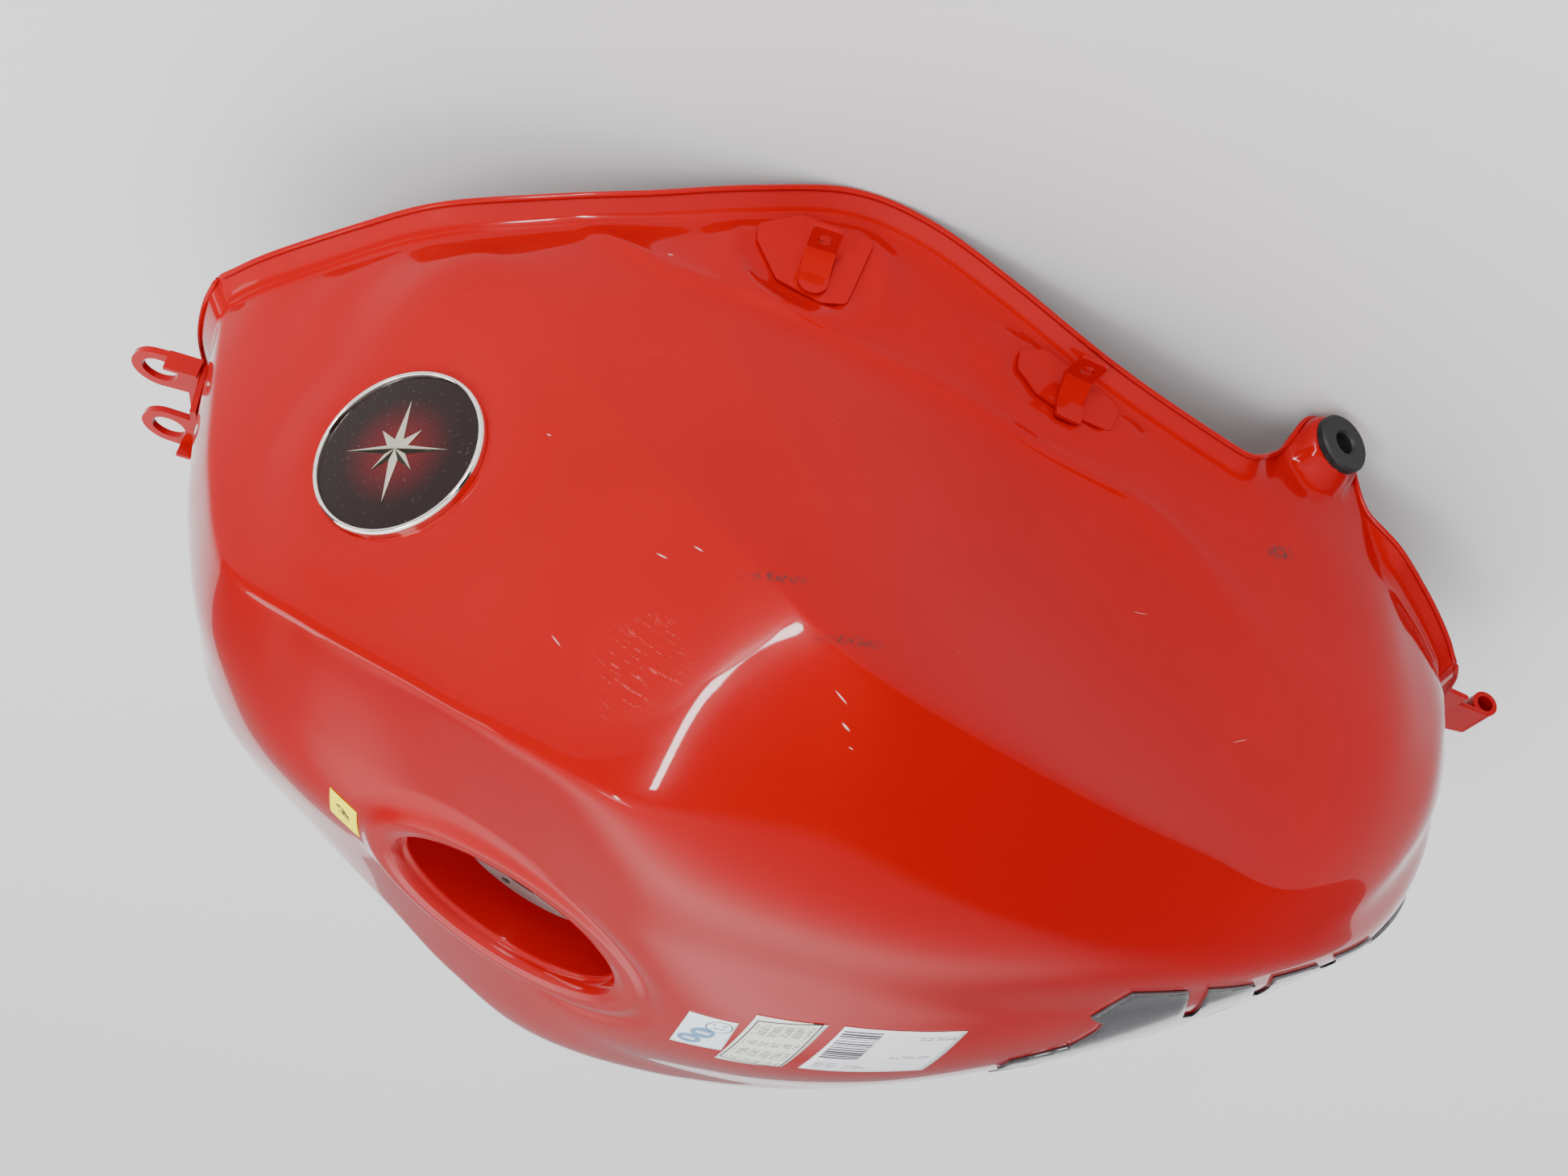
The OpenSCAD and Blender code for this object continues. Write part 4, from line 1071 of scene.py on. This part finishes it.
pad_mesh = link("rear_pad", pad_verts, [tuple(f) for f in tris], gel)
if sum((f.normal for f in pad_mesh.data.polygons), Vector()).z < 0:
    pad_mesh.data.flip_normals()
thicken(pad_mesh, 1.3)
soften(pad_mesh, 0.35, 50)
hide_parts("tank_pad")
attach(pad_mesh, "tank")

# ---------------------------------------------------------------- parts kept from the CAD
def smooth_by_angle():
    """A modifier's node group that shades everything smooth, apart from edges sharper than 32 degrees."""
    group = bpy.data.node_groups.new("smooth_by_angle", "GeometryNodeTree")
    group.interface.new_socket("Geometry", in_out="INPUT", socket_type="NodeSocketGeometry")
    group.interface.new_socket("Geometry", in_out="OUTPUT", socket_type="NodeSocketGeometry")
    get, put = group.nodes.new("NodeGroupInput"), group.nodes.new("NodeGroupOutput")
    faces_on = group.nodes.new("GeometryNodeSetShadeSmooth")
    edges_on = group.nodes.new("GeometryNodeSetShadeSmooth")
    edges_on.domain = "EDGE"
    angle = group.nodes.new("GeometryNodeInputMeshEdgeAngle")
    less = group.nodes.new("FunctionNodeCompare")
    less.operation = "LESS_THAN"
    less.inputs[1].default_value = math.radians(32)
    group.links.new(get.outputs[0], faces_on.inputs["Geometry"])
    group.links.new(faces_on.outputs[0], edges_on.inputs["Geometry"])
    group.links.new(angle.outputs["Unsigned Angle"], less.inputs[0])
    group.links.new(less.outputs[0], edges_on.inputs["Shade Smooth"])
    group.links.new(edges_on.outputs[0], put.inputs[0])
    return group


shading = smooth_by_angle()
# Material and edge radius in millimetres of the CAD parts that stay; the rest are red.
FINISH = {
    "filler_neck": (steel, 0.5), "drain_pipe": (steel, 0.2), "breather_pipe": (steel, 0.2),
    "baffle_plate": (lining, 0.2), "pump_mount_ring": (steel, 0.4), "pump_gasket": (black_rubber, 0.2),
    "pump_flange": (zinc, 0.5), "pump_nuts": (zinc, 0.3), "pump_body": (zinc, 0.6),
    "pump_holder": (black_plastic, 0.4), "pump_strainer": (cloth, 0.6), "fuel_outlet": (zinc, 0.3),
    "pump_connector": (black_plastic, 0.5), "level_sender": (black_plastic, 0.4), "float_arm": (zinc, 0.1),
    "float": (black_plastic, 0.8), "grommet": (black_rubber, 0.4)}
hidden = {"outer_shell", "filler_cup", "bottom_pan", "tank_pad"}
for node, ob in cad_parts.items():
    mat, edge = next((v for k, v in FINISH.items() if node.startswith(k) and "boss" not in node), (red, 0.35))
    ob.data.materials.clear()
    ob.data.materials.append(mat)
    if node in hidden or node.startswith(("label", "emblem", "grommet_boss")):
        continue
    soften(ob, edge, 40)
    finish = ob.modifiers.new("shading", "NODES")
    finish.node_group = shading

# ---------------------------------------------------------------- stage and camera
SKY_LOW, SKY_HIGH, SKY_DARK = 0.45, 3.1, 0.8
BACKDROP = 1.5
# The camera was solved by a scratch program from the filler and the front eyelets. Its picture is
# upside down, as the photo is.
CAMERA_AT = Vector((0.1257, -0.635, 0.4612))
CAMERA_AIM = Vector((-0.1286, 0.8625, -0.4895))
CAMERA_DOWN = Vector((-0.2807, 0.4417, 0.8521))
# Name, place, aim, width, height and power.
SOFTBOXES = [("key", (0.9, -1.0, 1.5), (0.05, 0, 0.15), 0.45, 0.45, 12),
             ("strip", (0.52, -2.1, 0.33), (0.08, -0.17, 0.24), 0.10, 0.62, 42),
             ("front", (2.0, 0.15, 0.95), (0.15, 0, 0.2), 1.7, 0.32, 15)]
bpy.ops.mesh.primitive_plane_add(size=1)
floor = bpy.context.object
floor.name = "floor"
floor.scale = (14, 14, 1)
fm = Nodes("floor")
fm.set(Base_Color=(0.60, 0.60, 0.605, 1), Roughness=0.6)
floor.data.materials.append(fm.mat)

# A white studio: bright overhead, and darker low down on the tank's right side and at its front. The
# backdrop that the camera sees directly is one even grey.
world = bpy.data.worlds.new("studio")
bpy.context.scene.world = world
world.use_nodes = True
wt = world.node_tree
sky = wt.nodes["Background"]


class World(Nodes):
    """The same short ways, for the world's node tree."""

    def __init__(self, tree):
        self.tree = tree


w = World(wt)
x, y, z = w.split(wt.nodes.new("ShaderNodeTexCoord").outputs["Generated"])
rise = w.ramp(z, 0.30, 0.60, SKY_LOW, SKY_HIGH)
low = w.ramp(z, 0.30, 0.42, 1.0, 0.0)
facing = w.most(w.ramp(y, 0.0, -0.6, 0.0, 1.0), w.ramp(x, 0.2, 0.8, 0.0, 1.0))
shade = w.math("SUBTRACT", 1.0, w.times(w.times(low, facing), SKY_DARK))
shade = w.times(shade, w.ramp(x, 0.1, -0.6, 1.0, 0.55))
seen = wt.nodes.new("ShaderNodeLightPath").outputs["Is Camera Ray"]
lit = w.times(w.times(rise, shade), w.math("SUBTRACT", 1.0, seen))
wt.links.new(w.math("ADD", lit, w.times(seen, BACKDROP)), sky.inputs[1])
sky.inputs[0].default_value = (0.97, 0.975, 1.0, 1)


def softbox(name, at, toward, width, height, power):
    lamp = bpy.data.lights.new(name, "AREA")
    lamp.shape = "RECTANGLE"
    lamp.size, lamp.size_y = width, height
    lamp.energy = power
    ob = bpy.data.objects.new(name, lamp)
    bpy.context.scene.collection.objects.link(ob)
    ob.location = at
    ob.rotation_euler = (Vector(toward) - Vector(at)).to_track_quat("-Z", "Y").to_euler()


for lamp in SOFTBOXES:
    softbox(*lamp)

cam = bpy.data.objects.new("camera", bpy.data.cameras.new("camera"))
bpy.context.scene.collection.objects.link(cam)
bpy.context.scene.camera = cam
cam.data.lens = 37.0
cam.data.sensor_width = 36
cam.data.clip_start = 0.01
forward = CAMERA_AIM.normalized()
right = forward.cross(-CAMERA_DOWN).normalized()
turned_to = Matrix((right, right.cross(forward), -forward)).transposed().to_4x4()
cam.matrix_world = Matrix.Translation(CAMERA_AT) @ turned_to
